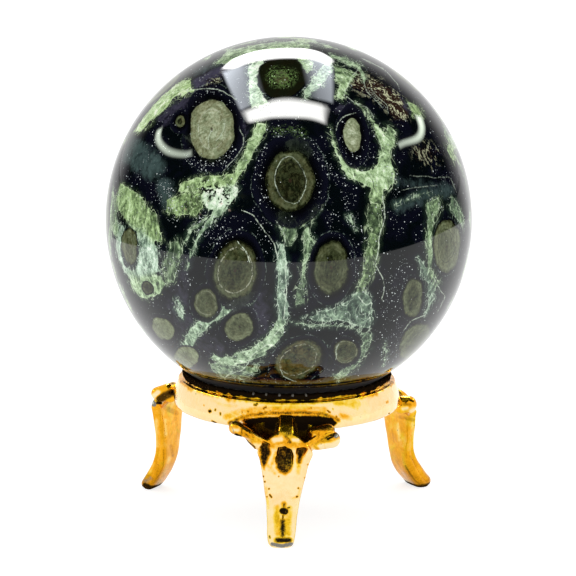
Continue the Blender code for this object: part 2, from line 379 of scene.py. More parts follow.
# Green places: brightness, coolness from yellow green to mint, corners
GREEN_PX = (
    (0.78, 0.00, ((134, 132), (139, 122), (146, 110), (160, 96), (174, 84.5), (188, 79), (194, 90), (178, 99),
                  (166, 108.5), (158, 115), (148, 125), (142, 131))),
    (0.62, 0.30, ((214, 62), (228, 50), (248, 42), (272, 37), (300, 36), (322, 40), (345, 46), (330, 47),
                  (312, 44), (300, 49), (282, 52), (262, 54), (244, 58), (226, 63))),
    (0.88, 0.55, ((248, 66), (262, 58), (264, 62), (259, 72), (258, 84), (263, 94), (268, 103), (262, 108),
                  (252, 106), (248, 92), (248, 78))),
    (0.62, 0.20, ((257, 121), (267, 121), (263, 136), (256, 150), (249, 162), (240, 176), (230, 179),
                  (234, 168), (242, 156), (249, 140))),
    (0.58, 0.08, ((182, 182), (196, 176), (212, 175), (229, 172), (241, 171), (233, 184), (216, 188),
                  (200, 192), (184, 195), (178, 189))),
    (0.82, 0.60, ((204, 190), (218, 186), (232, 184), (240, 188), (236, 198), (228, 207), (214, 213),
                  (206, 209), (201, 199))),
    (0.50, 0.05, ((166, 197), (184, 192), (202, 192), (204, 208), (196, 216), (178, 217), (164, 212))),
    (0.54, 0.10, ((120, 184), (134, 190), (148, 204), (158, 218), (163, 240), (150, 244), (140, 235),
                  (131, 226), (121, 214), (115, 200))),
    (0.50, 0.35, ((109, 186), (115, 194), (118, 214), (120, 234), (113, 238), (107, 220), (106, 200))),
    (0.64, 0.85, ((117, 222), (125, 227), (121, 250), (125, 266), (132, 271), (138, 262), (140, 246),
                  (136, 229), (130, 222), (144, 226), (153, 236), (158, 252), (160, 270), (150, 276),
                  (138, 280), (126, 276), (119, 262), (115, 246))),
    (0.60, 0.35, ((128, 272), (140, 272), (152, 273), (160, 276), (164, 285), (160, 294), (150, 299),
                  (139, 297), (130, 288))),
    (0.34, 0.35, ((169, 244), (178, 238), (183, 250), (179, 266), (173, 283), (164, 286), (163, 262))),
    (0.58, 0.65, ((257, 293), (251, 302), (239, 310), (223, 317), (209, 326), (199, 337), (191, 347),
                  (181, 347), (185, 336), (193, 326), (203, 318), (217, 310), (233, 302), (245, 294))),
    (0.50, 0.80, ((278, 244), (284, 244), (288, 262), (287, 285), (288, 308), (290, 320), (284, 326),
                  (277, 322), (277, 300), (277, 280), (276, 262))),
    (0.36, 0.40, ((277, 214), (284, 211), (296, 217), (298, 225), (296, 236), (292, 247), (286, 248),
                  (281, 238), (278, 226))),
    (0.40, 0.20, ((315, 205), (319, 210), (311, 219), (304, 228), (300, 229), (303, 221), (309, 213))),
    (0.42, 0.45, ((305, 229), (312, 222), (311, 234), (316, 241), (314, 250), (308, 262), (305, 273),
                  (305, 286), (306, 303), (294, 306), (297, 290), (300, 274), (303, 258), (302, 242))),
    (0.62, 0.55, ((279, 317), (289, 322), (284, 334), (273, 346), (259, 357), (245, 364), (228, 367),
                  (215, 362), (213, 356), (232, 356), (248, 350), (262, 340), (272, 330))),
    (0.36, 0.75, ((303, 317), (318, 312), (333, 307), (348, 300), (361, 288), (369, 294), (374, 306),
                  (373, 320), (369, 331), (354, 326), (336, 322), (320, 321))),
    (0.52, 0.20, ((370, 185), (386, 184), (384, 196), (383, 208), (370, 208), (367.5, 196))),
    (0.34, 0.20, ((369, 204), (384, 204), (383, 222), (380, 240), (379, 256), (375, 270), (369, 283),
                  (362, 293), (357, 291), (362, 276), (366, 258), (367, 240), (368, 222))),
    (0.70, 0.28, ((328, 126), (333, 140), (339, 155), (348, 165), (360, 171), (372, 169), (378, 160),
                  (380, 148), (378, 134), (370, 121), (378, 124), (388, 136), (392, 152), (394, 168),
                  (395, 182), (388, 191), (374, 191), (360, 183), (350, 178), (341, 168), (335, 154),
                  (330, 140))),
    (0.40, 0.50, ((211, 364), (224, 362), (240, 366), (252, 368), (263, 360), (258, 372), (244, 380),
                  (226, 379), (213, 373))),
    (0.40, 0.50, ((366, 331), (372, 336), (371, 348), (364, 359), (354, 369), (346, 377), (337, 381),
                  (333, 376), (344, 368), (354, 357), (361, 345))),
    (0.52, 0.40, ((283, 142), (296, 137), (308, 141), (315, 150), (309, 157), (300, 151), (290, 153))),
    (0.56, 0.25, ((333, 65), (346, 68), (359, 74), (351, 82), (347, 92), (343, 103), (336, 97), (340, 84),
                  (335, 76))),
    (0.64, 0.60, ((330, 57), (334, 71), (323, 84), (311, 96), (304, 101), (305, 92), (313, 80), (321, 68))),
    (0.74, 0.30, ((288, 58), (300, 56), (313, 61), (313, 71), (304, 74), (295, 71), (289, 65))),
    (0.40, 0.35, ((424, 204), (434, 199), (440, 197), (441, 206), (437, 216), (434, 230), (433, 250),
                  (434, 268), (440, 283), (436, 289), (428, 276), (427, 256), (427, 236), (429, 216))),
    (0.34, 0.50, ((451, 196), (460, 205), (465, 222), (462, 229), (454, 217), (448, 206))),
    (0.44, 0.75, ((417, 257), (428, 269), (435, 284), (435, 300), (424, 315), (429, 298), (427, 284),
                  (419, 272))),
    (0.58, 0.10, ((445, 133), (454, 146), (458, 165), (452, 161), (447, 148))),
    (0.52, 0.05, ((407, 102), (418, 105), (424, 117), (414, 117))),
    (0.55, 0.30, ((386, 124), (394, 132), (397, 146), (391, 155), (386, 144))),
)

# Green streaks: brightness, coolness, half width at the start and at the end, points
STREAKS_PX = (
    (0.52, 0.60, 3.5, 1.2, ((224, 208), (212, 220), (200, 232), (192, 250), (188, 268))),
    (0.44, 0.50, 2.0, 1.0, ((207, 219), (192, 229), (185, 241), (178, 252))),
    (0.55, 0.75, 1.6, 1.6, ((178, 300), (183.5, 308), (182, 318), (178, 309))),
    (0.45, 0.40, 1.8, 1.0, ((318, 205), (311, 217), (302, 222))),
    (0.42, 0.60, 2.6, 1.4, ((350, 216), (354, 222), (357.5, 230))),
    (0.50, 0.30, 2.2, 1.4, ((357, 104), (366, 114), (374, 122))),
    (0.55, 0.45, 2.6, 2.0, ((332, 57), (345, 60), (358, 66), (365, 80))),
    (0.50, 0.70, 1.4, 1.2, ((216, 288), (221, 298), (220, 310), (210, 320))),
    (0.40, 0.60, 1.6, 1.6, ((292, 322), (310, 324), (330, 326), (352, 328), (363, 335))),
    (0.50, 0.60, 1.6, 1.2, ((384, 343), (385, 355), (383, 366))),
    (0.36, 0.60, 1.6, 1.2, ((395, 205), (412, 197), (430, 193))),
    (0.40, 0.20, 4.0, 2.5, ((200, 148), (212, 160), (224, 158))),
    (0.75, 0.45, 1.8, 1.4, ((188, 136), (193, 145), (199, 152))),
)

# Thin bright lines: strength, points
LINES_PX = (
    (0.7, ((289, 156), (281.5, 160.6), (276.3, 171.8), (275.5, 182.2), (277.5, 191))),
    (0.3, ((277.5, 191), (285, 200), (293, 203.8))),
    (0.7, ((293, 203.8), (299.8, 200.3), (305.6, 190), (306.5, 179.6), (304, 171))),
    (0.3, ((304, 171), (296.3, 160.6), (289, 156))),
    (0.5, ((222, 118), (224.5, 126), (222.5, 134), (217, 139))),
    (0.5, ((211, 131), (208.5, 139), (209, 146))),
    (0.4, ((199, 121), (198, 131), (201, 140))),
    (0.9, ((243, 210), (255, 218), (265, 231), (274.5, 246), (278.5, 263))),
    (0.9, ((383, 196), (384, 214), (382, 224), (379, 236), (378, 250), (374, 264))),
    (0.7, ((374, 264), (381, 275), (383, 286), (382, 299))),
    (0.9, ((359, 297), (366, 306), (372, 303), (370, 318), (369, 331))),
    (1.0, ((285.5, 262), (287, 285), (285.5, 304), (284, 319))),
    (0.8, ((279.7, 330), (266, 344), (253, 354), (246, 366), (226, 377))),
    (0.7, ((166, 96), (186, 91), (206, 89), (224, 92), (236, 100))),
    (0.6, ((240, 128), (243, 141), (239, 153), (224, 170))),
    (0.8, ((337, 128), (342, 118), (353, 113.5))),
    (0.7, ((357.6, 70), (349, 81), (345, 95))),
    (0.3, ((412, 176), (432, 177), (449, 179), (456, 191))),
    (0.3, ((404, 190), (418, 187), (433, 186))),
    (0.6, ((364, 82), (368, 92), (375, 100), (381, 106))),
    (0.5, ((372, 90), (378, 98), (386, 103), (389, 112))),
    (0.6, ((347, 97), (356, 104), (366, 108), (374, 117))),
    (0.6, ((339.8, 343), (335.5, 350), (336.5, 358))),
    (1.0, ((239, 243), (246, 251), (249.5, 261))),
    (0.6, ((362, 58), (372, 62), (386, 72), (398, 86))),
    (0.7, ((280, 368), (284, 377), (295, 381))),
    (0.6, ((434, 279), (440, 290), (445.6, 296), (437, 310))),
    (0.7, ((228, 66), (246, 59), (262, 55))),
    (0.6, ((404, 330), (412, 321), (424, 315))),
    (0.7, ((120, 228), (117, 246), (122, 266), (132, 279))),
    (0.8, ((210, 195), (222, 198), (232, 190), (228, 184))),
    (0.7, ((206, 203), (217, 206), (226, 202))),
    (0.7, ((278, 222), (284, 236), (283, 250))),
)

# Soft hazes: teal, violet and brown strength, half width, points
HAZES_PX = (
    (0.66, 0.00, 0.0, 15, ((132, 150), (150, 166))),
    (0.60, 0.25, 0.0, 9, ((164, 186), (170, 204))),
    (0.50, 0.00, 0.0, 5, ((196, 72), (220, 62), (243, 55))),
    (0.55, 0.00, 0.0, 8, ((398, 207), (420, 197), (446, 190))),
    (0.45, 0.00, 0.0, 6, ((398, 182), (424, 186), (442, 186))),
    (0.40, 0.00, 0.0, 8, ((404, 60), (425, 85), (440, 110))),
    (0.00, 0.90, 0.0, 6, ((190, 88), (206, 78), (222, 70))),
    (0.00, 0.80, 0.0, 5, ((381, 90), (396, 99), (409, 110))),
    (0.00, 0.60, 0.0, 8, ((163, 117), (176, 104), (198, 97))),
    (0.00, 0.50, 0.0, 6, ((240, 110), (243, 130), (240, 150))),
    (0.00, 0.45, 0.0, 6, ((338, 110), (352, 108), (366, 118))),
    (0.00, 0.42, 0.0, 12, ((185, 262), (176, 300), (190, 330), (216, 350))),
    (0.00, 0.42, 0.0, 12, ((262, 300), (258, 330))),
    (0.00, 0.12, 0.0, 12, ((396, 262), (392, 310), (388, 360))),
    (0.00, 0.00, 0.9, 9, ((358, 80), (374, 88), (390, 98), (400, 112))),
    (0.00, 0.00, 0.5, 10, ((423, 152), (431, 156))),
    (0.00, 0.00, 0.8, 3.5, ((256, 50.5), (269, 47))),
    (0.00, 0.00, 0.7, 4, ((210, 84), (218, 80))),
)

# Holes with pink spots, white dust and green flakes: strength of each, half width, points
MARKS_PX = (
    (1.0, 0.0, 0.0, 10, ((206, 188), (222, 195), (236, 202))),
    (0.5, 0.2, 0.0, 7, ((184, 198), (200, 206))),
    (0.0, 0.9, 0.0, 5, ((316, 152), (324, 160), (331, 172))),
    (0.0, 0.6, 0.0, 5, ((263, 150), (260, 165), (263, 185), (268, 204))),
    (0.0, 0.9, 0.0, 5, ((190, 160), (205, 167), (219, 163), (232, 152))),
    (0.0, 0.8, 0.0, 9, ((163, 190), (170, 204), (176, 214))),
    (0.0, 0.9, 0.0, 4, ((389, 168), (394, 180), (397, 190))),
    (0.0, 0.5, 0.0, 10, ((205, 225), (222, 232), (215, 250))),
    (0.0, 0.4, 0.0, 8, ((180, 262), (188, 280))),
    (0.0, 0.4, 0.0, 6, ((337, 178), (352, 205), (360, 240), (352, 262))),
    (0.0, 0.5, 0.0, 6, ((318, 185), (326, 200), (332, 225))),
    (0.0, 0.4, 0.0, 7, ((262, 225), (268, 250))),
    (0.0, 0.5, 0.0, 5, ((370, 150), (364, 160), (352, 158), (340, 140))),
    (0.0, 0.3, 0.0, 12, ((395, 262), (392, 300), (388, 350))),
    (0.0, 0.3, 0.0, 8, ((190, 90), (215, 82))),
    (0.0, 0.3, 1.0, 9, ((276, 77), (288, 77))),
    (0.0, 0.2, 0.5, 4, ((274, 130), (292, 130), (304, 134))),
)

STONE_STEPS = 128
FRONT_PULL = 0.3
RIM_START = 0.955
RIM_END = 0.995
# Where the stone turns dull and dark above its seat, as a share of its radius below the middle: painted shade
# where the ring closes round the stone
SEAT_SHADE_EDGE = (-0.815, -0.785)
UNSEEN_ORBS = 46
UNSEEN_SEED = 11
# The distance of an orb that a place has nothing to do with, in sizes of that orb
FAR_ORB = 99
# How outlines wander, slowly and quickly. On the unseen side the reach is a share of the stone's radius.
SLOW_WAVE_MM = 2.6
QUICK_WAVE_MM = 0.9
ORB_WANDER_PX = (1.8, 0.8)
BAND_WANDER_PX = (2.6, 1.4)
UNSEEN_WANDER = (0.014, 0.006)
# Where no line or green place is near, and how far a green place pulls at the tones round it
FAR_LINE_PX = 9.0
FAR_BAND_PX = 30.0
TONE_PULL_PX = 2.0
HAZE_EDGE_PX = 7.0
MARK_EDGE_PX = 3.5


def cube_sphere(steps):
    """Directions and quads of a sphere with even angular steps on the six sides of a cube."""
    angles = np.linspace(-math.pi / 4, math.pi / 4, steps + 1)
    u, v = np.meshgrid(np.tan(angles), np.tan(angles), indexing="ij")
    one = np.ones_like(u)
    sides = [(one, u, v), (-one, v, u), (v, one, u), (u, -one, v), (u, v, one), (v, u, -one)]
    places = np.concatenate([np.stack(side, -1).reshape(-1, 3) for side in sides])
    places /= np.linalg.norm(places, axis=1)[:, None]
    _, first, index = np.unique(np.round(places, 6), axis=0, return_index=True, return_inverse=True)
    corner = np.arange((steps + 1) ** 2).reshape(steps + 1, steps + 1)
    quads = np.stack([corner[:-1, :-1], corner[1:, :-1], corner[1:, 1:], corner[:-1, 1:]], -1).reshape(-1, 4)
    faces = np.concatenate([quads + side * (steps + 1) ** 2 for side in range(6)])
    return places[first], index.reshape(-1)[faces]


def pulled_to_front(directions):
    """Moves directions towards the camera, so that the photographed side has more vertices."""
    facing = directions @ TO_CAMERA
    side = directions - facing[:, None] * TO_CAMERA
    side /= np.maximum(np.linalg.norm(side, axis=1), 1e-9)[:, None]
    angle = np.arccos(np.clip(facing, -1, 1))
    angle = angle - FRONT_PULL * np.sin(angle)
    return np.cos(angle)[:, None] * TO_CAMERA + np.sin(angle)[:, None] * side


def photographed_orbs(x, y):
    """For each orb of the photograph: its distance field, its size in pixels and its look."""
    found = []
    for (cx, cy), half_width, half_height, lean, *look in ORBS_PX.values():
        turn = math.radians(lean)
        across = (x - cx) * math.cos(turn) + (y - cy) * math.sin(turn)
        along = (x - cx) * math.sin(turn) - (y - cy) * math.cos(turn)
        found.append((np.hypot(across / half_width, along / half_height), half_width, look))
    return found


def unseen_orbs(directions):
    """Orbs of the same kind, scattered over the sides that the photograph doesn't show."""
    random = np.random.default_rng(UNSEEN_SEED)
    radius = STONE_RADIUS / MM
    centres, found = [], []
    while len(found) < UNSEEN_ORBS:
        centre = random.normal(size=3)
        centre /= np.linalg.norm(centre)
        size = random.uniform(1.3, 4.2)
        shape = random.uniform(0.62, 0.95)
        lean = random.uniform(-0.5, 0.5)
        core = random.uniform(0.05, 0.35)
        look = [
            core,
            core + random.uniform(0.03, 0.15),
            random.uniform(0.4, 0.7),
            random.uniform(0.55, 0.85),
            random.choice([0.0, 0.4, 0.8, -0.5]),
            random.uniform(1.15, 1.5),
            random.uniform(0.1, 0.6),
        ]
        near = centre @ TO_CAMERA > 0.02 + size / radius
        crowded = any(
            math.acos(np.clip(centre @ other, -1, 1)) * radius < 1.3 * (size + other_size)
            for other, other_size in centres
        )
        # A crowded place is taken once in a while, so that the search ends
        if near or (crowded and random.uniform() < 0.995):
            continue
        centres.append((centre, size))
        level = np.cross((0, 0, 1), centre)
        level /= np.linalg.norm(level)
        rise = np.cross(centre, level)
        first = level * math.cos(lean) + rise * math.sin(lean)
        second = np.cross(centre, first)
        across = directions @ first * radius / (size * shape)
        along = directions @ second * radius / size
        distance = np.where(directions @ centre > 0, np.hypot(across, along), FAR_ORB)
        found.append((distance, size * shape * MM / STONE_RADIUS * STONE_RADIUS_PX, look))
    return found


def nearest_line(x, y):
    """The signed distance of the nearest of the bright lines, and its strength."""
    line_side = np.full(len(x), FAR_LINE_PX)
    line_strength = np.zeros(len(x))
    for strength, points in LINES_PX:
        side = line_offset(x, y, smooth_rows(points, 4))
        nearer = np.abs(side) < np.abs(line_side)
        line_side = np.where(nearer, side, line_side)
        line_strength = np.where(nearer, strength, line_strength)
    return line_side, line_strength


def green_places(x, y):
    """The distance of the nearest green place, and the brightness and coolness that those near blend to."""
    green = [(bright, cool, polygon_gap(x, y, corners)) for bright, cool, corners in GREEN_PX]
    for bright, cool, start, end, points in STREAKS_PX:
        green.append((bright, cool, stroke_gap(x, y, points, start, end)))
    band = np.full(len(x), FAR_BAND_PX)
    brightness = np.zeros(len(x))
    coolness = np.zeros(len(x))
    total = np.full(len(x), 1e-9)
    for bright, cool, gap in green:
        weight = np.exp(-np.clip(gap, -5, FAR_BAND_PX) / TONE_PULL_PX)
        band = np.minimum(band, gap)
        brightness += bright * weight
        coolness += cool * weight
        total += weight
    return band, brightness / total, coolness / total


def soft_cover(x, y, strokes, edge):
    """How strongly soft strokes cover each place, for the three strengths that a stroke has."""
    cover = np.zeros((len(x), 3))
    for *strengths, width, points in strokes:
        share = 1 - fade(stroke_gap(x, y, points, width, width), -edge, edge)
        cover = np.maximum(cover, share[:, None] * strengths)
    return cover


def stone_pattern(directions):
    """The stored numbers that the stone's material turns into orbs, bands, lines and hazes."""
    millimetres = directions * STONE_RADIUS / MM
    slow = wander(millimetres, SLOW_WAVE_MM, 1)
    quick = wander(millimetres, QUICK_WAVE_MM, 2)
    true_x, true_y = to_pixels(STONE_CENTRE + directions * STONE_RADIUS)
    outline = np.hypot(true_x - STONE_CENTRE_PX[0], true_y - STONE_CENTRE_PX[1]) / STONE_RADIUS_PX
    seen = (directions @ TO_CAMERA > 0.03) * (1 - fade(outline, RIM_START, RIM_END))

    slow_reach, quick_reach = ORB_WANDER_PX
    x = true_x + slow_reach * slow[:, 0] + quick_reach * quick[:, 0]
    y = true_y + slow_reach * slow[:, 1] + quick_reach * quick[:, 1]
    orbs = [(np.where(seen > 0.01, d, FAR_ORB), size, look) for d, size, look in photographed_orbs(x, y)]
    orbs += unseen_orbs(directions + UNSEEN_WANDER[0] * slow + UNSEEN_WANDER[1] * quick)
    gaps = np.stack([(distance - 1) * size for distance, size, _ in orbs])
    order = np.argsort(gaps, axis=0)
    nearest = order[0]
    row = np.arange(len(nearest))
    distance = np.stack([d for d, _, _ in orbs])[nearest, row]
    looks = np.array([look for _, _, look in orbs])[nearest]
    border = gaps[order[1], row] - gaps[nearest, row]
    outside = gaps[nearest, row]
    line_side, line_strength = nearest_line(x, y)
    line_strength = line_strength * (seen > 0.3)

    slow_reach, quick_reach = BAND_WANDER_PX
    x = true_x + slow_reach * slow[:, 1] + quick_reach * quick[:, 2]
    y = true_y + slow_reach * slow[:, 2] + quick_reach * quick[:, 1]
    band, brightness, coolness = green_places(x, y)
    # Behind the photographed side the green lies round the orbs and in a web between them
    web = np.maximum(3.5 - outside, border * 0.45 - 3.0 + 7.0 * slow[:, 2])
    band = band * seen + web * (1 - seen)
    brightness = brightness * seen + (0.55 + 0.25 * quick[:, 0]) * (1 - seen)
    coolness = coolness * seen + np.clip(0.4 + 0.6 * slow[:, 0], 0, 1) * (1 - seen)
    return {
        "orb": np.stack([np.minimum(distance, 4.0), looks[:, 0], looks[:, 1]], -1),
        "orb_ring": looks[:, 2:5],
        # The third number of orb_edge is the painted shade above the seat
        "orb_edge": np.stack([looks[:, 5], looks[:, 6], 1 - fade(directions[:, 2], *SEAT_SHADE_EDGE)], -1),
        "line": np.stack([line_side, np.abs(line_side), line_strength], -1),
        "band": np.stack([np.clip(band, -12, FAR_BAND_PX), brightness, coolness], -1),
        "haze": soft_cover(x, y, HAZES_PX, HAZE_EDGE_PX) * seen[:, None],
        "marks": soft_cover(x, y, MARKS_PX, MARK_EDGE_PX) * seen[:, None],
    }


def stone_material():
    look = Look("jasper_polish")
    orb, core_shade, edge_shade = look.parts("orb")
    core_end, ring_place, ring_strength = look.parts("orb_ring")
    halo_reach, warm, seat_shade = look.parts("orb_edge")
    line_side, line_gap, line_strength = look.parts("line")
    band, brightness, coolness = look.parts("band")
    teal, violet, brown = look.parts("haze")
    holes, dusty, flaky = look.parts("marks")

    broad = look.noise(0.3, 3.0, 0.55, 0.6)
    coarse = look.noise(0.75, 4.0, 0.6, 0.8)
    flow = look.noise(0.62, 5.0, 0.6, 1.5, stretch=2.2)
    swirl = look.noise(1.3, 5.0, 0.62, 2.0, stretch=1.4)
    fine = look.noise(2.6, 4.0, 0.65)
    grain = look.noise(6.5, 2.0, 0.6)
    veins = look.threads(look.noise(0.55, 2.0, 0.5, 1.2, stretch=1.8), 0.016)
    cracks = look.threads(look.noise(0.8, 2.0, 0.5, 1.2, stretch=1.5), 0.012)

    # Ground: almost black, between teal and violet, with hazes
    ground = look.mix(look.fade(broad, 0.42, 0.6), (0.0010, 0.0022, 0.0028), (0.0026, 0.0030, 0.0072))
    cloud = look.add(teal, look.swing(coarse, 0.8), look.swing(swirl, 0.7))
    ground = look.mix(look.fade(cloud, 0.15, 1.0), ground, (0.062, 0.100, 0.095))
    cloud = look.add(violet, look.swing(coarse, 0.7), look.swing(flow, 0.8))
    ground = look.mix(look.fade(cloud, 0.2, 0.95), ground, (0.058, 0.054, 0.086))
    cloud = look.add(brown, look.swing(fine, 1.0), look.swing(swirl, 1.6))
    ground = look.mix(look.fade(cloud, 0.35, 0.8), ground, (0.026, 0.014, 0.009))
    flakes = look.times(brown, look.fade(look.add(flow, look.swing(swirl, 0.9)), 0.57, 0.60))
    ground = look.mix(flakes, ground, (0.58, 0.60, 0.38))

    # Bands: marbled, with a few dark cracks and bright veins, crisp at the edge and in a faint haze
    ragged = look.add(band, 0.5, look.swing(coarse, 5.0), look.swing(swirl, 3.6), look.swing(fine, 1.6))
    near = look.times(look.fade(ragged, 0.5, 6.0, 1.0, 0.0), look.fade(flow, 0.35, 0.65, 0.15, 0.8))
    colour = look.mix(near, ground, look.mix(coolness, (0.022, 0.038, 0.017), (0.016, 0.036, 0.032)))
    marble = look.add(brightness, look.swing(flow, 1.5), look.swing(coarse, 0.9), look.swing(fine, 0.7))
    yellow = look.ramp(
        marble, (0.0, (0.012, 0.020, 0.010)), (0.30, (0.065, 0.10, 0.042)), (0.50, (0.18, 0.27, 0.105)),
        (0.68, (0.34, 0.49, 0.20)), (0.86, (0.55, 0.74, 0.38)), (1.0, (0.84, 0.90, 0.70)),
    )
    mint = look.ramp(
        marble, (0.0, (0.012, 0.024, 0.024)), (0.30, (0.055, 0.09, 0.075)), (0.50, (0.15, 0.22, 0.18)),
        (0.68, (0.34, 0.47, 0.37)), (0.86, (0.60, 0.76, 0.64)), (1.0, (0.86, 0.92, 0.84)),
    )
    body = look.mix(coolness, yellow, mint)
    body = look.mix(look.times(cracks, 0.7), body, (0.012, 0.020, 0.014))
    pale = look.mix(coolness, (0.60, 0.76, 0.42), (0.66, 0.80, 0.68))
    colour = look.mix(look.fade(ragged, -0.6, 0.4, 1.0, 0.0), colour, body)
    vein_strength = look.times(look.fade(ragged, 0.5, 4.0, 0.85, 0.0), look.add(brightness, 0.25))
    colour = look.mix(look.math("MULTIPLY", veins, vein_strength, clamp=True), colour, pale)
    rim = look.fade(look.math("ABSOLUTE", look.add(ragged, 0.5)), 0.1, 0.7, 0.7, 0.0)
    colour = look.mix(look.times(rim, look.fade(swirl, 0.48, 0.60)), colour, pale)
    filaments = look.threads(look.noise(1.5, 3.0, 0.55, 1.6, stretch=2.4), 0.020)
    along = look.fade(look.math("ABSOLUTE", ragged), 0.8, 3.2, 0.7, 0.0)
    along = look.times(along, look.fade(flow, 0.48, 0.58))
    colour = look.mix(look.times(filaments, along), colour, pale)
    torn = look.fade(look.add(coarse, look.swing(fine, 0.8)), 0.44, 0.49, 1.0, 0.0)
    colour = look.mix(look.times(holes, torn), colour, (0.006, 0.008, 0.006))
    colour = look.mix(look.times(holes, look.spots(1.0, 0.28, 0.3)), colour, (0.66, 0.42, 0.34))

    # Dark halo, then the orb with its growth rings
    soft_orb = look.add(orb, look.swing(fine, 0.07), look.swing(coarse, 0.09))
    halo = look.fade(soft_orb, look.times(halo_reach, 0.96), look.times(halo_reach, 1.03), 1.0, 0.0)
    deep = look.fade(soft_orb, 1.0, halo_reach)
    halo_colour = look.mix(deep, (0.0010, 0.0012, 0.0014), (0.0040, 0.0044, 0.0105))
    colour = look.mix(look.times(halo, 0.96), colour, halo_colour)
    outline = look.math("ABSOLUTE", look.math("SUBTRACT", soft_orb, look.times(halo_reach, 1.03)))
    outline = look.times(look.fade(outline, 0.008, 0.03, 0.35, 0.0), look.fade(swirl, 0.50, 0.62))
    colour = look.mix(outline, colour, (0.30, 0.40, 0.34))
    inside = look.fade(soft_orb, 0.96, 1.0, 1.0, 0.0)
    phase = look.add(look.times(orb, 40.0), look.times(coarse, 9.0), look.times(fine, 3.0))
    growth = look.times(look.math("SINE", phase), look.fade(flow, 0.42, 0.58, 0.02, 0.16))
    shade = look.fade(soft_orb, look.times(core_end, 0.85), look.times(core_end, 1.15))
    shade = look.add(core_shade, look.times(shade, look.math("SUBTRACT", edge_shade, core_shade)))
    strength = look.add(look.times(shade, 0.8), 0.08)
    mottle = look.add(growth, look.swing(flow, 2.2), look.swing(swirl, 1.8), look.swing(fine, 1.6))
    shade = look.add(shade, look.times(strength, mottle), look.fade(soft_orb, 0.86, 0.97, 0.0, -0.14))
    olive = look.ramp(
        shade, (0.0, (0.006, 0.008, 0.003)), (0.08, (0.040, 0.050, 0.020)), (0.25, (0.115, 0.135, 0.070)),
        (0.5, (0.22, 0.26, 0.145)), (0.75, (0.36, 0.42, 0.27)), (1.0, (0.52, 0.58, 0.42)),
    )
    olive = look.mix(look.times(warm, look.fade(coarse, 0.4, 0.6)), olive, look.ramp(
        shade, (0.0, (0.008, 0.006, 0.002)), (0.12, (0.060, 0.050, 0.016)), (0.3, (0.13, 0.115, 0.05)),
        (1.0, (0.50, 0.50, 0.32)),
    ))
    olive = look.mix(look.fade(orb, 0.04, 0.09, 0.85, 0.0), olive, (0.030, 0.016, 0.010))
    ring_gap = look.math("ABSOLUTE", look.math("SUBTRACT", soft_orb, ring_place))
    ring = look.times(look.fade(ring_gap, 0.006, 0.032, 1.0, 0.0), look.fade(swirl, 0.42, 0.56, 0.05, 1.0))
    bright_ring = look.math("MULTIPLY", ring, look.times(ring_strength, 0.7), clamp=True)
    dark_ring = look.math("MULTIPLY", ring, look.times(ring_strength, -1.0), clamp=True)
    olive = look.mix(bright_ring, olive, (0.48, 0.50, 0.38))
    olive = look.mix(dark_ring, olive, (0.012, 0.013, 0.008))
    colour = look.mix(inside, colour, olive)
    flakes = look.fade(look.add(fine, look.swing(grain, 0.7)), 0.50, 0.57)
    colour = look.mix(look.times(flaky, flakes), colour, (0.10, 0.17, 0.05))
    colour = look.mix(look.times(flaky, look.spots(3.2, 0.11, 0.2)), colour, (0.50, 0.74, 0.34))

    # Thin bright lines and specks
    thread = look.math("ABSOLUTE", look.add(line_side, look.swing(fine, 1.6)))
    thread = look.fade(thread, 0.15, 0.75, 1.0, 0.0)
    thread = look.times(thread, look.fade(line_gap, 1.6, 2.8, 1.0, 0.0))
    thread = look.times(thread, look.fade(swirl, 0.40, 0.56, 0.10, 1.0))
    colour = look.mix(look.times(thread, line_strength), colour, (0.58, 0.68, 0.54))
    dull = look.fade(inside, 0.0, 1.0, 1.0, 0.15)
    chance = look.times(look.add(dusty, look.fade(broad, 0.46, 0.62, 0.02, 0.22)), dull)
    colour = look.mix(look.times(look.spots(2.6, 0.105, chance), 0.9), colour, (0.62, 0.68, 0.66))
    colour = look.mix(look.times(look.spots(4.6, 0.062, chance), 0.7), colour, (0.50, 0.56, 0.56))

    # Painted shade: near black and dull above the seat, where the ring shades the stone
    colour = look.mix(look.times(seat_shade, 0.9), colour, (0.004, 0.003, 0.005))
    return look.finish(Base_Color=colour, Roughness=look.fade(seat_shade, 0.0, 1.0, 0.04, 0.7), IOR=1.42)


def make_stone():
    directions, faces = cube_sphere(STONE_STEPS)
    directions = pulled_to_front(directions)
    stone = mesh_object("stone", (STONE_CENTRE + directions * STONE_RADIUS).tolist(), faces.tolist())
    stone.data.shade_smooth()
    for name, values in stone_pattern(directions).items():
        store(stone, name, values)
    stone.data.materials.append(stone_material())
    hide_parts("jasper_sphere")
    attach(stone, "root")
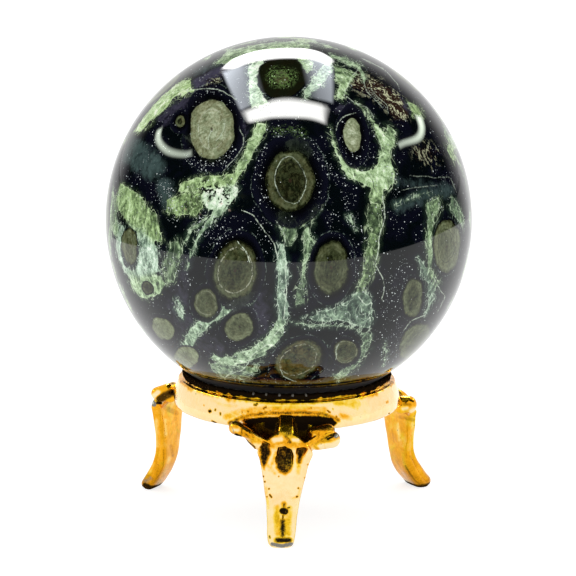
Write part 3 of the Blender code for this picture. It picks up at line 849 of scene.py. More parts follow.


# Gilt, whose stored tone is 0 for cream, 0.4 for orange gold, 0.7 for brown and 1 or more for black; the
# stored tone holds painted shade and painted reflection as well as the gold's own tones


def gilt_material(name, mottling):
    """Plated casting, mottled round its stored tone, with a yellower share and bare places stored too. The
    tone carries painted shade and reflection, and the bare places painted glints as well as wear.
    """
    look = Look(name)
    tone, olive, wear_and_glint = look.parts("finish")
    broad = look.noise(0.28, 3.0, 0.55, 0.8)
    coarse = look.noise(0.7, 4.0, 0.6, 0.8)
    fine = look.noise(2.4, 3.0, 0.6, 0.5)
    grain = look.noise(5.5, 3.0, 0.6)
    speckle = look.times(look.swing(grain, 1.0), look.fade(tone, 0.40, 0.60, 0.15, 0.8))
    mottle = look.add(look.swing(coarse, 0.8), look.swing(fine, 0.4), speckle)
    uneven = look.fade(tone, 0.0, 0.4, 0.25 * mottling, mottling)
    value = look.math("ADD", tone, look.times(uneven, mottle), clamp=True)
    orange = look.ramp(
        value, (0.0, (0.88, 0.70, 0.40)), (0.10, (0.87, 0.64, 0.31)), (0.26, (0.85, 0.53, 0.11)),
        (0.40, (0.82, 0.37, 0.012)), (0.56, (0.62, 0.26, 0.005)), (0.70, (0.29, 0.13, 0.005)),
        (0.84, (0.085, 0.042, 0.005)), (1.0, (0.014, 0.008, 0.004)),
    )
    yellow = look.ramp(
        value, (0.0, (0.88, 0.72, 0.42)), (0.10, (0.87, 0.68, 0.32)), (0.26, (0.84, 0.61, 0.11)),
        (0.40, (0.78, 0.48, 0.016)), (0.56, (0.52, 0.31, 0.008)), (0.70, (0.24, 0.15, 0.008)),
        (0.84, (0.070, 0.046, 0.006)), (1.0, (0.014, 0.009, 0.004)),
    )
    colour = look.mix(look.fade(look.add(olive, look.swing(broad, 2.4)), 0.2, 0.8), orange, yellow)
    pits = look.spots(1.3, 0.10, look.add(look.fade(broad, 0.45, 0.7, 0.02, 0.3), look.times(uneven, 0.15)))
    colour = look.mix(look.times(pits, 0.8), colour, (0.12, 0.055, 0.01))
    # Grey bare places: partly wear, partly painted glints on the collar's teeth and on the rolls
    bare_and_glint = look.fade(look.add(wear_and_glint, look.swing(fine, 0.9)), 0.3, 0.8)
    colour = look.mix(bare_and_glint, colour, (0.20, 0.19, 0.165))
    # Dark tones, painted shade among them, also darken the edge reflection
    glancing = look.mix(look.fade(value, 0.6, 0.95), (1.0, 1.0, 1.0), (0.02, 0.015, 0.01))
    look.put(look.shader.inputs["Specular Tint"], glancing)
    roughness = look.add(look.fade(value, 0.6, 1.0, 0.09, 0.75), look.swing(fine, 0.15))
    height = look.add(look.times(coarse, 0.5), look.times(pits, -0.5), look.times(fine, 0.05))
    bump = look.node("ShaderNodeBump")
    look.put(bump.inputs["Height"], height)
    look.put(bump.inputs["Strength"], 0.5)
    look.put(bump.inputs["Distance"], 0.25 * MM)
    return look.finish(Base_Color=colour, Metallic=1.0, Roughness=roughness, Normal=bump.outputs["Normal"])


# Ring

RING_STEPS = 756
RING_SUBSTEPS = 2
RING_BOTTOM_MM = 14.5
# The band lies outside the first radius, and the seat, black with painted shade, inside the second
BAND_RADIUS_MM = 14.35
SEAT_RADIUS_MM = 14.0
COLLAR_TEETH = 50
TOOTH_START = 0.2
TOOTH_MM = 0.05
# Slight unevenness of the cast surfaces
SWELL_MM = 0.05
RING_WAVE_MM = 2.6
# Heights over which the band's top turns to deeper gold and then to the collar's black, on a torn edge:
# painted shade under the stone, the deeper gold standing for the stone's dark underside mirrored in the band
BAND_TOP_SHADE_MM = (17.9, 18.4)
COLLAR_SHADE_MM = (18.5, 18.9)
TORN_MM = 0.30
TORN_WAVE_MM = 0.7
BAND_TONE = 0.07
# The collar's black and the hidden seat's black are painted shade under the stone
COLLAR_SHADE_TONE = 1.3
HIDDEN_SHADE_TONE = 1.4
# Where the collar's teeth have painted glints, across the front
GLINTS_MIDDLE_MM = -0.6
GLINTS_REACH_MM = 3.9
# Section of the ring from the inside bottom up over the seat and down the band: radius, height
RING_SECTION_MM = (
    (12.50, 14.80), (12.50, 16.00), (12.50, 17.20), (12.52, 18.10), (12.80, 18.55), (13.15, 18.90),
    (13.45, 19.20), (13.70, 19.38), (13.90, 19.42), (14.10, 19.38), (14.24, 19.26), (14.30, 19.10),
    (14.30, 18.90), (14.26, 18.72), (14.24, 18.55), (14.30, 18.44), (14.45, 18.38), (14.62, 18.36),
    (14.74, 18.32), (14.82, 18.22), (14.88, 18.08), (14.98, 17.80), (15.10, 17.45), (15.22, 17.10),
    (15.32, 16.75), (15.40, 16.40), (15.46, 16.10), (15.50, 15.80), (15.50, 15.50), (15.48, 15.20),
    (15.42, 14.95), (15.30, 14.75), (15.12, 14.60), (14.90, 14.52), (14.40, 14.50), (13.70, 14.50),
    (13.10, 14.51), (12.75, 14.56), (12.56, 14.66), (12.50, 14.80),
)
# Deeper gold, in part the painted reflection of the front leg's head as an arch above it, yellow patches, and
# dark pits and stains, on the band's front: strength, half width, points
BAND_DEEP_AND_REFLECTION_PX = (
    (0.50, 2.5, ((180, 380), (184, 382.5), (189, 385))),
    (0.16, 2.0, ((212, 400), (222, 405), (236, 406))),
    (0.42, 2.4, ((236, 397), (255, 401.5), (290, 403), (318, 402))),
    (0.36, 5.0, ((337, 401), (347, 400), (356, 404))),
    (0.34, 2.0, ((346, 404), (357, 408))),
    (0.30, 3.0, ((341, 416), (350, 418))),
    (0.40, 2.0, ((380, 388), (386, 386))),
    (0.72, 2.2, ((230, 423), (240, 418), (252, 414.8), (270, 413.4), (300, 412.6), (322, 413.6), (338, 420))),
    (0.34, 3.4, ((226, 417), (240, 412), (262, 409.5), (300, 408.5), (324, 410))),
)
BAND_YELLOW_PX = (
    (1.0, 8.0, ((336, 403), (356, 402), (362, 410))),
    (1.0, 4.0, ((240, 399), (290, 404), (325, 402))),
)
BAND_DARK_PX = (
    (1.0, 1.7, ((209.8, 411.2),)),
    (0.9, 1.0, ((215.3, 410),)),
    (0.9, 0.9, ((220.3, 413), (220.3, 414.6))),
    (0.8, 0.7, ((204, 405),)),
    (0.8, 1.4, ((254.6, 404.8), (257, 404.2))),
    (0.9, 0.8, ((212, 421), (216, 422.8))),
    (0.8, 1.1, ((263.5, 408.6), (266, 407))),
    (0.8, 0.8, ((242, 412.6),)),
    (0.8, 0.8, ((248, 411.6),)),
    (0.8, 0.9, ((264.8, 412.2), (267, 411.4))),
    (0.9, 0.9, ((328, 411), (330, 412.5))),
    (0.9, 1.0, ((336.5, 416.5),)),
    (0.8, 0.8, ((333, 409.5),)),
    (0.9, 0.9, ((389, 413.4),)),
    (0.7, 0.8, ((386.5, 402.5), (388, 401.5))),
    (0.7, 1.0, ((383, 387.5), (386, 386))),
    (0.8, 0.8, ((343, 399.5),)),
    (0.8, 0.7, ((311, 407.6),)),
    (0.8, 0.8, ((285, 409),)),
)
# The band's foot behind the front leg's head, painted black as shade
LEG_SHADE_ON_BAND_PX = (
    (242, 420.5), (250, 418), (262, 416.8), (290, 415.3), (318, 415.2), (333, 417.5), (338, 423), (330, 430),
    (290, 434), (252, 430),
)


def ring_tone(x, y, section_radius, torn_height, front):
    """Tones of the ring's gilding: pale on the band, with painted shade as deeper gold at the band's top and
    black on the collar, on the hidden seat and behind the front leg's head.
    """
    tone = BAND_TONE + 0.45 * fade(torn_height, *BAND_TOP_SHADE_MM)
    tone = np.maximum(tone, painted(x, y, BAND_DEEP_AND_REFLECTION_PX, 1.8) * front)
    tone = np.maximum(tone, COLLAR_SHADE_TONE * fade(torn_height, *COLLAR_SHADE_MM))
    tone[section_radius < SEAT_RADIUS_MM] = HIDDEN_SHADE_TONE
    tone = np.maximum(tone, painted(x, y, BAND_DARK_PX, 0.5) * front)
    return np.maximum(tone, HIDDEN_SHADE_TONE * (1 - fade(polygon_gap(x, y, LEG_SHADE_ON_BAND_PX), -2.4, 1.2)) * front)


def make_ring():
    section = smooth_rows(RING_SECTION_MM, RING_SUBSTEPS)[:-1]
    count = len(section)
    turns = np.arange(RING_STEPS) / RING_STEPS * 2 * math.pi
    tooth = np.cos(turns * COLLAR_TEETH + TOOTH_START)[:, None]
    collar = fade(section[:, 1], 18.45, 18.7) * fade(section[:, 0], 13.4, 13.8)
    radius = section[None, :, 0] + TOOTH_MM * tooth * collar
    height = section[None, :, 1] + TOOTH_MM * (tooth - 1) * collar
    direction = np.stack([np.cos(turns), np.sin(turns)], -1)
    points = np.concatenate([direction[:, None, :] * radius[..., None], height[..., None]], -1).reshape(-1, 3)
    swell = wander(points, RING_WAVE_MM, 5)
    section_radius, section_height = np.tile(section, (RING_STEPS, 1)).T
    points = points + swell * SWELL_MM * (section_radius > BAND_RADIUS_MM)[:, None]
    points[:, 2] = np.maximum(points[:, 2], RING_BOTTOM_MM)
    index = np.arange(RING_STEPS * count).reshape(RING_STEPS, count)
    after = np.roll(index, -1, axis=0)
    corners = (index, after, np.roll(after, -1, axis=1), np.roll(index, -1, axis=1))
    ring = mesh_object("ring", (points * MM).tolist(), np.stack(corners, -1).reshape(-1, 4).tolist())
    ring.data.shade_smooth()

    front = fade(-points[:, 1], 0.0, 3.0)
    torn_height = section_height + TORN_MM * swell[:, 0] + TORN_MM * wander(points, TORN_WAVE_MM, 6)[:, 0]
    x, y = to_pixels(points * MM)
    tone = ring_tone(x, y, section_radius, torn_height, front)
    olive = 0.25 + painted(x, y, BAND_YELLOW_PX, 3.0)
    # Painted glints on the collar's teeth, kept in the slot of the bare places
    glint = fade(section_height, 18.9, 19.2) * fade(section_radius, 13.9, 14.1)
    glint = glint * fade(np.repeat(tooth[:, 0], count), 0.8, 0.98)
    aside = np.abs(points[:, 0] - GLINTS_MIDDLE_MM)
    glint = glint * front * (1 - fade(aside, GLINTS_REACH_MM, GLINTS_REACH_MM + 0.5))
    store(ring, "finish", np.stack([tone, olive, glint], -1))
    ring.data.materials.append(gilt_material("gilt_band", 1.0))
    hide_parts("stand_ring")
    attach(ring, "root")
    return ring


# Legs: the solids' own sections, repeated here and refined

LEG_PLACES = {
    "leg_front": (270.0, -2.0, 0.0),
    "leg_left": (152.5, 0.0, -1.0),
    "leg_right": (33.5, 4.5, 7.0),
}
LEG_ORIGIN_HEIGHT_MM = 15.0
TOE_RADIUS_MM = 21.4
# front radius and height, back radius and height, half width
LEG_SECTIONS_MM = (
    (18.30, 15.20, 16.60, 14.20, 1.40),
    (18.90, 14.70, 17.00, 13.80, 2.00),
    (19.40, 13.60, 17.45, 12.90, 3.20),
    (19.55, 12.60, 17.70, 12.20, 3.75),
    (19.55, 11.50, 17.80, 11.30, 3.45),
    (19.50, 9.90, 17.75, 9.75, 3.08),
    (19.45, 7.90, 17.75, 7.70, 2.68),
    (19.60, 6.10, 17.90, 5.65, 2.34),
    (20.00, 4.50, 18.35, 3.80, 2.10),
    (20.70, 3.05, 19.15, 2.10, 1.98),
    (21.50, 1.80, 20.05, 0.75, 1.88),
    (22.10, 0.95, 20.80, 0.00, 1.62),
    (22.35, 0.35, 21.60, -0.25, 0.90),
)
# The head's rim: across, radius, height, height of the underside
RIM_MM = (
    (-5.9, 16.60, 15.30, 14.2), (-5.0, 17.15, 15.15, 13.4), (-4.2, 17.65, 14.85, 12.8),
    (-3.4, 18.20, 14.40, 12.3), (-2.7, 18.75, 14.00, 12.2), (-1.6, 19.20, 13.95, 12.2),
    (0.0, 19.30, 14.00, 12.2), (1.6, 19.20, 14.00, 12.2), (2.7, 18.85, 14.10, 12.2),
    (4.1, 18.00, 14.60, 12.3), (5.0, 17.25, 15.00, 13.0), (5.9, 16.55, 15.25, 13.9),
)
# The rib on the head's middle: radius, height
FRONT_RIB_MM = ((14.60, 16.90), (16.30, 16.60), (17.70, 15.95), (18.60, 15.10), (19.30, 14.05))
SIDE_RIB_MM = ((14.60, 16.00), (16.30, 15.75), (17.70, 15.05), (18.60, 14.35), (19.30, 14.00))
RIB_HALF_WIDTH_MM = 1.15
SCOOP_START_MM = 16.4
SCOOP_END_MM = 15.3
SCOOP_DEPTH_MM = 1.15
HEAD_START_MM = 14.9
HEAD_LIP_MM = 0.28
HEAD_STATIONS = 61
# Rolled ends of the leaf, each between a first and a last round: across, radius, height, then half sizes the
# same way
ROLLS_MM = {
    "leg_front": (
        ((6.75, 16.45, 14.95, 1.00, 1.15, 0.95), (6.30, 16.55, 14.75, 1.00, 1.15, 0.90)),
        ((6.30, 16.55, 14.75, 1.00, 1.15, 0.85), (4.30, 17.10, 14.05, 0.90, 1.05, 0.55)),
        ((-4.20, 16.70, 13.25, 0.95, 1.20, 0.80), (-6.15, 16.50, 13.95, 1.25, 1.35, 1.15)),
        ((-3.70, 16.60, 14.90, 0.80, 1.10, 0.70), (-5.60, 16.30, 15.30, 0.98, 1.10, 0.70)),
    ),
    "leg_left": (
        ((-5.50, 17.10, 14.95, 0.95, 0.95, 0.92), (-5.00, 15.80, 15.60, 0.90, 0.85, 0.85)),
        ((5.20, 16.50, 15.00, 1.40, 1.40, 1.25), (5.60, 16.50, 15.00, 1.40, 1.40, 1.25)),
    ),
    "leg_right": (
        ((5.00, 16.10, 14.80, 1.15, 1.20, 1.15), (5.40, 16.60, 14.70, 1.15, 1.25, 1.22)),
        ((-5.20, 16.50, 14.60, 1.50, 1.40, 1.30), (-5.60, 16.50, 14.60, 1.50, 1.40, 1.30)),
    ),
}
ROLL_ROUNDS = 5
# How much fuller the side legs' toes are
TOE_SWELL_MM = {"leg_front": 0.0, "leg_left": 0.12, "leg_right": 0.40}
# Cut facets under the knee: depth at the top, corners across and up
FACETS_MM = (
    (0.70, ((0.95, 13.25), (0.07, 13.47), (-0.83, 13.0), (-1.17, 12.1), (-1.15, 10.6), (-0.83, 9.95),
            (-0.16, 9.5), (0.5, 9.7), (1.18, 10.5), (1.29, 11.9))),
    (0.60, ((3.75, 13.9), (2.05, 13.7), (1.95, 12.56), (2.25, 11.2), (2.65, 10.0), (3.1, 10.6), (3.5, 11.9),
            (3.7, 13.0))),
    (0.55, ((-1.60, 13.35), (-3.04, 13.4), (-2.7, 12.56), (-2.14, 11.2), (-1.70, 11.1), (-1.5, 12.56))),
)
FACET_RAGGED_MM = 0.18
GROOVE_DEPTH_MM = 0.25
GROOVE_PLACE = 0.55
# How square the shaft's section is in front and behind, where 2 is round
FRONT_SQUARENESS = 3.8
BACK_SQUARENESS = 5.0
LEG_SECTION_POINTS = 72
LEG_SUBSTEPS = 6
HEAD_POINTS = 24
LEG_VOXEL = 0.1 * MM
LEG_WAVE_MM = 1.6
SIDE_LEG_MOTTLING = 0.4
# Tones of the legs. The front leg's turned sides and head are painted shade, the side legs' deeper orange is
# painted reflection of gold in gold, the scoops and pockets are painted shade, and the rib and facets painted
# reflection of the dark room
FRONT_FACE_TONE = 0.06
FRONT_TURN_SHADE_TONE = 0.30
FRONT_KNEE_TONE = 0.44
SIDE_LEG_REFLECTION_TONE = 0.41
SIDE_TOE_TONE = 0.95
SCOOP_SHADE_TONE = 0.54
RIB_REFLECTION_TONE = 0.70
POCKET_SHADE_TONE = 1.3
FACET_REFLECTION_TONE = 0.96

# Paint on each leg's seen side, soft and crisp strokes of deeper tone, then pale and bare places: strength,
# half width, points. Soft strokes are partly darker gold and partly painted shade in creases, rolls and
# scoops;
# crisp strokes are dark pits and painted shade in the pockets and under the rolls and wings; pale strokes are
# painted highlights; bare places are partly wear and partly painted glints.
LEG_PAINT_PX = {
    "leg_front": {
        "soft": (
            (0.42, 3.4, ((277, 508), (277, 520), (278, 534))),
            (0.42, 3.4, ((289, 509), (288, 520), (288, 534))),
            (0.55, 2.2, ((262, 439), (270, 441))),
            (0.55, 2.2, ((302, 438), (312, 436))),
            (0.66, 2.4, ((284, 504), (284, 514))),
            (0.66, 4.2, ((282.6, 522), (282.6, 534))),
            (1.00, 2.6, ((282.8, 521), (282.6, 527), (282.6, 535))),
            (1.00, 2.6, ((277, 540), (289, 540))),
            (0.30, 1.2, ((266, 488), (267, 497), (268, 508))),
            (0.30, 1.0, ((300, 489), (298, 497), (293, 498))),
            (0.32, 1.8, ((268, 466), (275, 473))),
            (0.32, 1.8, ((299, 466), (298, 473))),
            (0.42, 3.0, ((258, 438), (268, 444), (279, 448), (290, 447), (300, 447), (310, 446), (316, 440))),
            (0.40, 1.4, ((276, 452), (273, 462), (270, 470))),
            (0.40, 1.4, ((297, 452), (299, 462), (297, 471))),
            (0.74, 3.4, ((318, 429), (326, 428), (335, 429))),
            (0.64, 1.8, ((316, 444), (320, 440), (327, 437))),
            (0.60, 1.4, ((324, 441), (325, 448))),
            (0.50, 2.0, ((312, 444), (318, 449))),
            (0.74, 1.6, ((242, 427), (241.5, 434))),
            (0.70, 1.5, ((245, 433), (248, 437))),
            (0.66, 1.5, ((252, 434), (254, 441))),
            (0.60, 1.5, ((259, 438), (262, 444))),
            (0.50, 1.8, ((246, 438), (252, 442))),
            (0.76, 2.6, ((286, 436), (290, 442))),
            (0.62, 1.6, ((266, 434), (270, 437))),
            (0.62, 1.6, ((303, 433), (308, 436))),
        ),
        "crisp": (
            (1.1, 3.2, ((282.4, 511), (285.4, 511.5))),
            (0.9, 0.9, ((287.5, 508), (289.5, 507.5))),
            (1.0, 1.0, ((283, 516), (282.8, 521))),
            (1.0, 1.4, ((277.5, 541), (288, 541))),
            (1.0, 1.3, ((328, 439), (333, 436.5), (337, 434))),
            (1.0, 1.9, ((236, 435), (240, 436.8))),
            (0.85, 0.8, ((240, 437), (247, 440.5), (254.5, 447), (258.3, 457), (260, 464))),
            (0.9, 0.7, ((268, 452), (268.5, 452.5))),
            (0.9, 0.7, ((296.5, 452), (297, 454))),
            (0.9, 0.7, ((299, 444),)),
            (0.9, 0.7, ((270, 446),)),
            (1.0, 0.9, ((263.3, 476.4),)),
            (1.0, 0.9, ((264.8, 481.7),)),
            (1.0, 0.9, ((269, 488.8),)),
            (0.9, 0.7, ((264.5, 494),)),
            (1.0, 0.8, ((269.7, 494.8), (271.5, 497.3))),
            (0.9, 0.8, ((267, 496.7),)),
            (0.9, 0.8, ((278.8, 476.4),)),
            (1.0, 0.9, ((298.2, 488.2),)),
            (1.0, 1.1, ((297, 496.7),)),
            (0.8, 0.7, ((307.9, 464.5),)),
            (0.8, 0.7, ((305, 477.9),)),
            (0.9, 1.0, ((257.9, 456), (260.4, 464.6))),
            (0.9, 0.8, ((269.5, 536), (270, 538))),
            (1.1, 2.8, ((269, 422), (273, 427))),
            (1.1, 2.8, ((304, 423), (305, 427))),
            (0.8, 1.0, ((287.6, 442.6),)),
        ),
        "pale": (
            (0.5, 2.0, ((274, 440), (281, 439.5))),
            (0.5, 1.6, ((293.5, 440), (298, 440))),
            (0.4, 1.6, ((234, 430), (238, 430))),
            (0.4, 1.2, ((245, 427.5), (251, 430), (257, 434.5))),
            (0.4, 3.0, ((322, 446), (334, 445), (341, 440))),
        ),
        "bare_and_glint": (
            (0.9, 2.0, ((272, 544), (282, 546), (292, 544))),
            (1.0, 1.8, ((335.5, 436.5), (338.5, 434.5))),
            (0.6, 1.0, ((232, 427), (234, 433))),
        ),
    },
    "leg_left": {
        "soft": (
            (0.62, 1.2, ((160.5, 411), (160, 422), (160.6, 431))),
            (0.55, 1.0, ((160.6, 431), (162, 440), (163.4, 450))),
            (0.72, 1.6, ((163.4, 450), (163.7, 458), (163.2, 466), (160, 474), (155, 480))),
            (0.58, 3.0, ((171, 446), (173, 456))),
            (0.56, 4.0, ((166, 408), (176, 413))),
            (0.50, 3.0, ((176, 418), (178, 436))),
            (0.50, 2.0, ((156, 453), (160, 456))),
            (0.84, 5.0, ((160, 399), (165, 396), (171, 393))),
            (0.56, 2.5, ((148, 472), (153, 474))),
            (0.95, 3.4, ((145, 485), (151, 488), (158, 487))),
        ),
        "crisp": (
            (1.0, 1.6, ((157, 403), (161, 403))),
            (0.8, 0.7, ((166.5, 424),)),
            (0.8, 0.7, ((157, 455),)),
        ),
        "pale": (
            (0.7, 1.8, ((154, 396), (158, 392.5))),
            (0.2, 1.2, ((156, 420), (156, 434), (157, 446))),
            (0.2, 1.2, ((165, 420), (166, 434))),
            (0.2, 1.6, ((169, 458), (168, 462))),
            (0.2, 1.6, ((154, 464), (150, 472))),
        ),
        "bare_and_glint": ((0.9, 2.4, ((152, 401), (154, 404.5))), (0.5, 3.0, ((146, 481), (150, 479)))),
    },
    "leg_right": {
        "soft": (
            (0.66, 1.2, ((407, 426), (407.7, 439), (405.8, 448), (406.8, 458))),
            (0.80, 1.8, ((405.5, 466), (409.5, 473), (415, 480.5), (424, 487))),
            (0.55, 2.6, ((410, 456), (415, 464))),
            (0.62, 3.0, ((404, 404), (410, 405))),
            (0.58, 3.0, ((400, 417), (413, 420))),
            (0.66, 1.4, ((414, 416.5), (419.5, 412))),
            (0.50, 2.4, ((392, 430), (394, 442))),
        ),
        "crisp": (
            (0.95, 1.3, ((410, 400), (413, 401.2))),
            (0.9, 1.0, ((406, 403),)),
            (0.7, 0.7, ((400.5, 438),)),
        ),
        "pale": (
            (0.4, 1.4, ((403, 409), (407, 408))),
            (0.4, 1.6, ((411, 411), (417, 408))),
            (0.2, 1.2, ((398, 424), (399, 440))),
            (0.2, 1.2, ((413, 424), (414, 440))),
            (0.1, 3.0, ((418, 470), (424, 478))),
        ),
        "bare_and_glint": (),
    },
}


def bent(value, squareness):
    """A sine or cosine bent towards a superellipse."""
    return np.sign(value) * np.abs(value) ** (2 / squareness)


def shaft_loops():
    loops = []
    angles = 2 * math.pi * (np.arange(LEG_SECTION_POINTS) + 0.5) / LEG_SECTION_POINTS
    squareness = np.where(np.sin(angles) > 0, FRONT_SQUARENESS, BACK_SQUARENESS)
    share = (1 + bent(np.sin(angles), squareness)) / 2
    hollow = GROOVE_DEPTH_MM * np.exp(-(((share - GROOVE_PLACE) / 0.1) ** 2))
    for front_radius, front_height, radius, height, half_width in smooth_rows(LEG_SECTIONS_MM, LEG_SUBSTEPS):
        across = half_width * bent(np.cos(angles), squareness)
        across = across - np.sign(across) * hollow * fade(12.0 - front_height, 0.0, 1.5)
        out = radius + (front_radius - radius) * share
        up = height + (front_height - height) * share
        loops.append(np.stack([across, out, up], -1))
    return loops


def head_loops(rib):
    """Sections of the head from one side to the other: a scooped leaf with a rim and a rib in the middle."""
    rim = np.array(RIM_MM)
    rib = np.array(rib)
    share = np.linspace(0, 1, HEAD_POINTS)
    loops = []
    for across in np.linspace(rim[0, 0], rim[-1, 0], HEAD_STATIONS):
        radius, height, underside = (np.interp(across, rim[:, 0], rim[:, k]) for k in (1, 2, 3))
        start = math.sqrt(HEAD_START_MM**2 - across**2)
        out = start + (radius - start) * share
        begin = SCOOP_START_MM + (SCOOP_END_MM - SCOOP_START_MM) * float(fade(abs(across), 2.5, 5.5))
        scoop = begin + (height - begin) * share
        scoop = scoop - SCOOP_DEPTH_MM * np.sin(math.pi * share**0.8) * (1 - 0.14 * abs(across))
        middle = 1 - fade(abs(across), RIB_HALF_WIDTH_MM - 0.35, RIB_HALF_WIDTH_MM + 0.35)
        top = scoop + (np.interp(out, rib[:, 0], rib[:, 1]) - scoop) * middle
        top[-1] = height
        thick = height - underside
        lip = HEAD_LIP_MM
        profile = list(zip(out, top))
        profile += [(radius + lip, height - lip), (radius + 1.3 * lip, height - 2.4 * lip)]
        profile += [(radius + 0.1, height - 0.7 * thick), (radius - 0.5, underside)]
        profile += [(start + 1.2, 13.9), (start, 14.7)]
        loops.append(np.array([(across, r, z) for r, z in profile]))
    return loops


def skin(shape, loops):
    rings = [[shape.verts.new(point) for point in loop] for loop in loops]
    for first, second in zip(rings, rings[1:]):
        for k in range(len(first)):
            after = (k + 1) % len(first)
            shape.faces.new((first[k], first[after], second[after], second[k]))
    shape.faces.new(rings[0])
    shape.faces.new(list(reversed(rings[-1])))


def leg_casting(rib, rolls):
    """One leg in its own axes, in metres, as a single closed skin."""
    shape = bmesh.new()
    skin(shape, shaft_loops())
    skin(shape, head_loops(rib))
    for first, last in rolls:
        for place in np.linspace(first, last, ROLL_ROUNDS):
            made = bmesh.ops.create_icosphere(shape, subdivisions=4, radius=1.0)["verts"]
            bmesh.ops.scale(shape, vec=place[3:], verts=made)
            bmesh.ops.translate(shape, vec=place[:3], verts=made)
    bmesh.ops.recalc_face_normals(shape, faces=shape.faces)
    bmesh.ops.scale(shape, vec=(MM, MM, MM), verts=shape.verts)
    mesh = bpy.data.meshes.new("casting")
    shape.to_mesh(mesh)
    shape.free()
    obj = bpy.data.objects.new("casting", mesh)
    bpy.context.scene.collection.objects.link(obj)
    remesh = obj.modifiers.new("skin", "REMESH")
    remesh.mode = "VOXEL"
    remesh.voxel_size = LEG_VOXEL
    relax = obj.modifiers.new("relax", "SMOOTH")
    relax.factor = 0.5
    relax.iterations = 5
    bpy.context.view_layer.update()
    graph = bpy.context.evaluated_depsgraph_get()
    casting = bpy.data.meshes.new_from_object(obj.evaluated_get(graph))
    bpy.data.objects.remove(obj)
    return casting


def facet_cut(across, height):
    """How deep the facets are cut, and how fully a place lies in one."""
    depth = np.zeros(len(across))
    cover = np.zeros(len(across))
    for top_depth, corners in FACETS_MM:
        heights = [corner[1] for corner in corners]
        gap = polygon_gap(across, height, corners)
        share = np.clip((height - min(heights)) / (max(heights) - min(heights)), 0, 1)
        depth = np.maximum(depth, top_depth * share**0.8 * (1 - fade(gap, -0.30, 0.10)))
        cover = np.maximum(cover, 1 - fade(gap, -0.45, 0.35))
    return depth, cover


def vertex_rows(mesh, field):
    """Three numbers of each vertex, such as its place or its normal."""
    values = np.empty(len(mesh.vertices) * 3, np.float32)
    mesh.vertices.foreach_get(field, values)
    return values.reshape(-1, 3)


def stood_up(points, azimuth, lean, splay):
    """Turns points from a leg's own axes into the solids' axes, with nothing under the floor."""
    tilt = math.radians(splay)
    drop = LEG_ORIGIN_HEIGHT_MM * math.cos(tilt) - TOE_RADIUS_MM * math.sin(tilt)
    turn = (
        Matrix.Rotation(math.radians(azimuth - 90), 3, "Z")
        @ Matrix.Rotation(math.radians(lean), 3, "Y")
        @ Matrix.Rotation(tilt, 3, "X")
    )
    placed = (points - (0, 0, LEG_ORIGIN_HEIGHT_MM)) @ np.array(turn).T + (0, 0, drop)
    placed[:, 2] = np.maximum(placed[:, 2], 0.0)
    return placed


def head_forms(across, radius, height, front):
    """How fully places lie in the head, and in its dark pockets, its scoops and its rib: the masks for their
    painted shade and reflection.
    """
    head = fade(height, 13.8, 14.3)
    middle = np.abs(across)
    shaded_pocket = fade(height, 14.0, 15.0) * (1 - fade(radius, 15.6, 17.0)) * fade(middle, 1.0, 1.7)
    shaded_pocket = shaded_pocket * (1 - fade(middle, 2.6, 3.6))
    # On the front leg the painted shade reaches over the head's inner end, under the ring
    if front:
        hollow = 0.7 * head * (1 - fade(radius, 16.2, 16.9)) * (1 - fade(middle, 2.0, 4.0))
        shaded_pocket = np.maximum(shaded_pocket, hollow)
    scoop = head * fade(middle, 1.2, 1.7) * (1 - fade(middle, 4.2, 5.2)) * (1 - fade(radius, 17.9, 18.8))
    rib = head * (1 - fade(middle, 0.6, 1.3)) * (1 - fade(radius, 18.6, 19.3))
    return head, shaded_pocket, scoop, rib


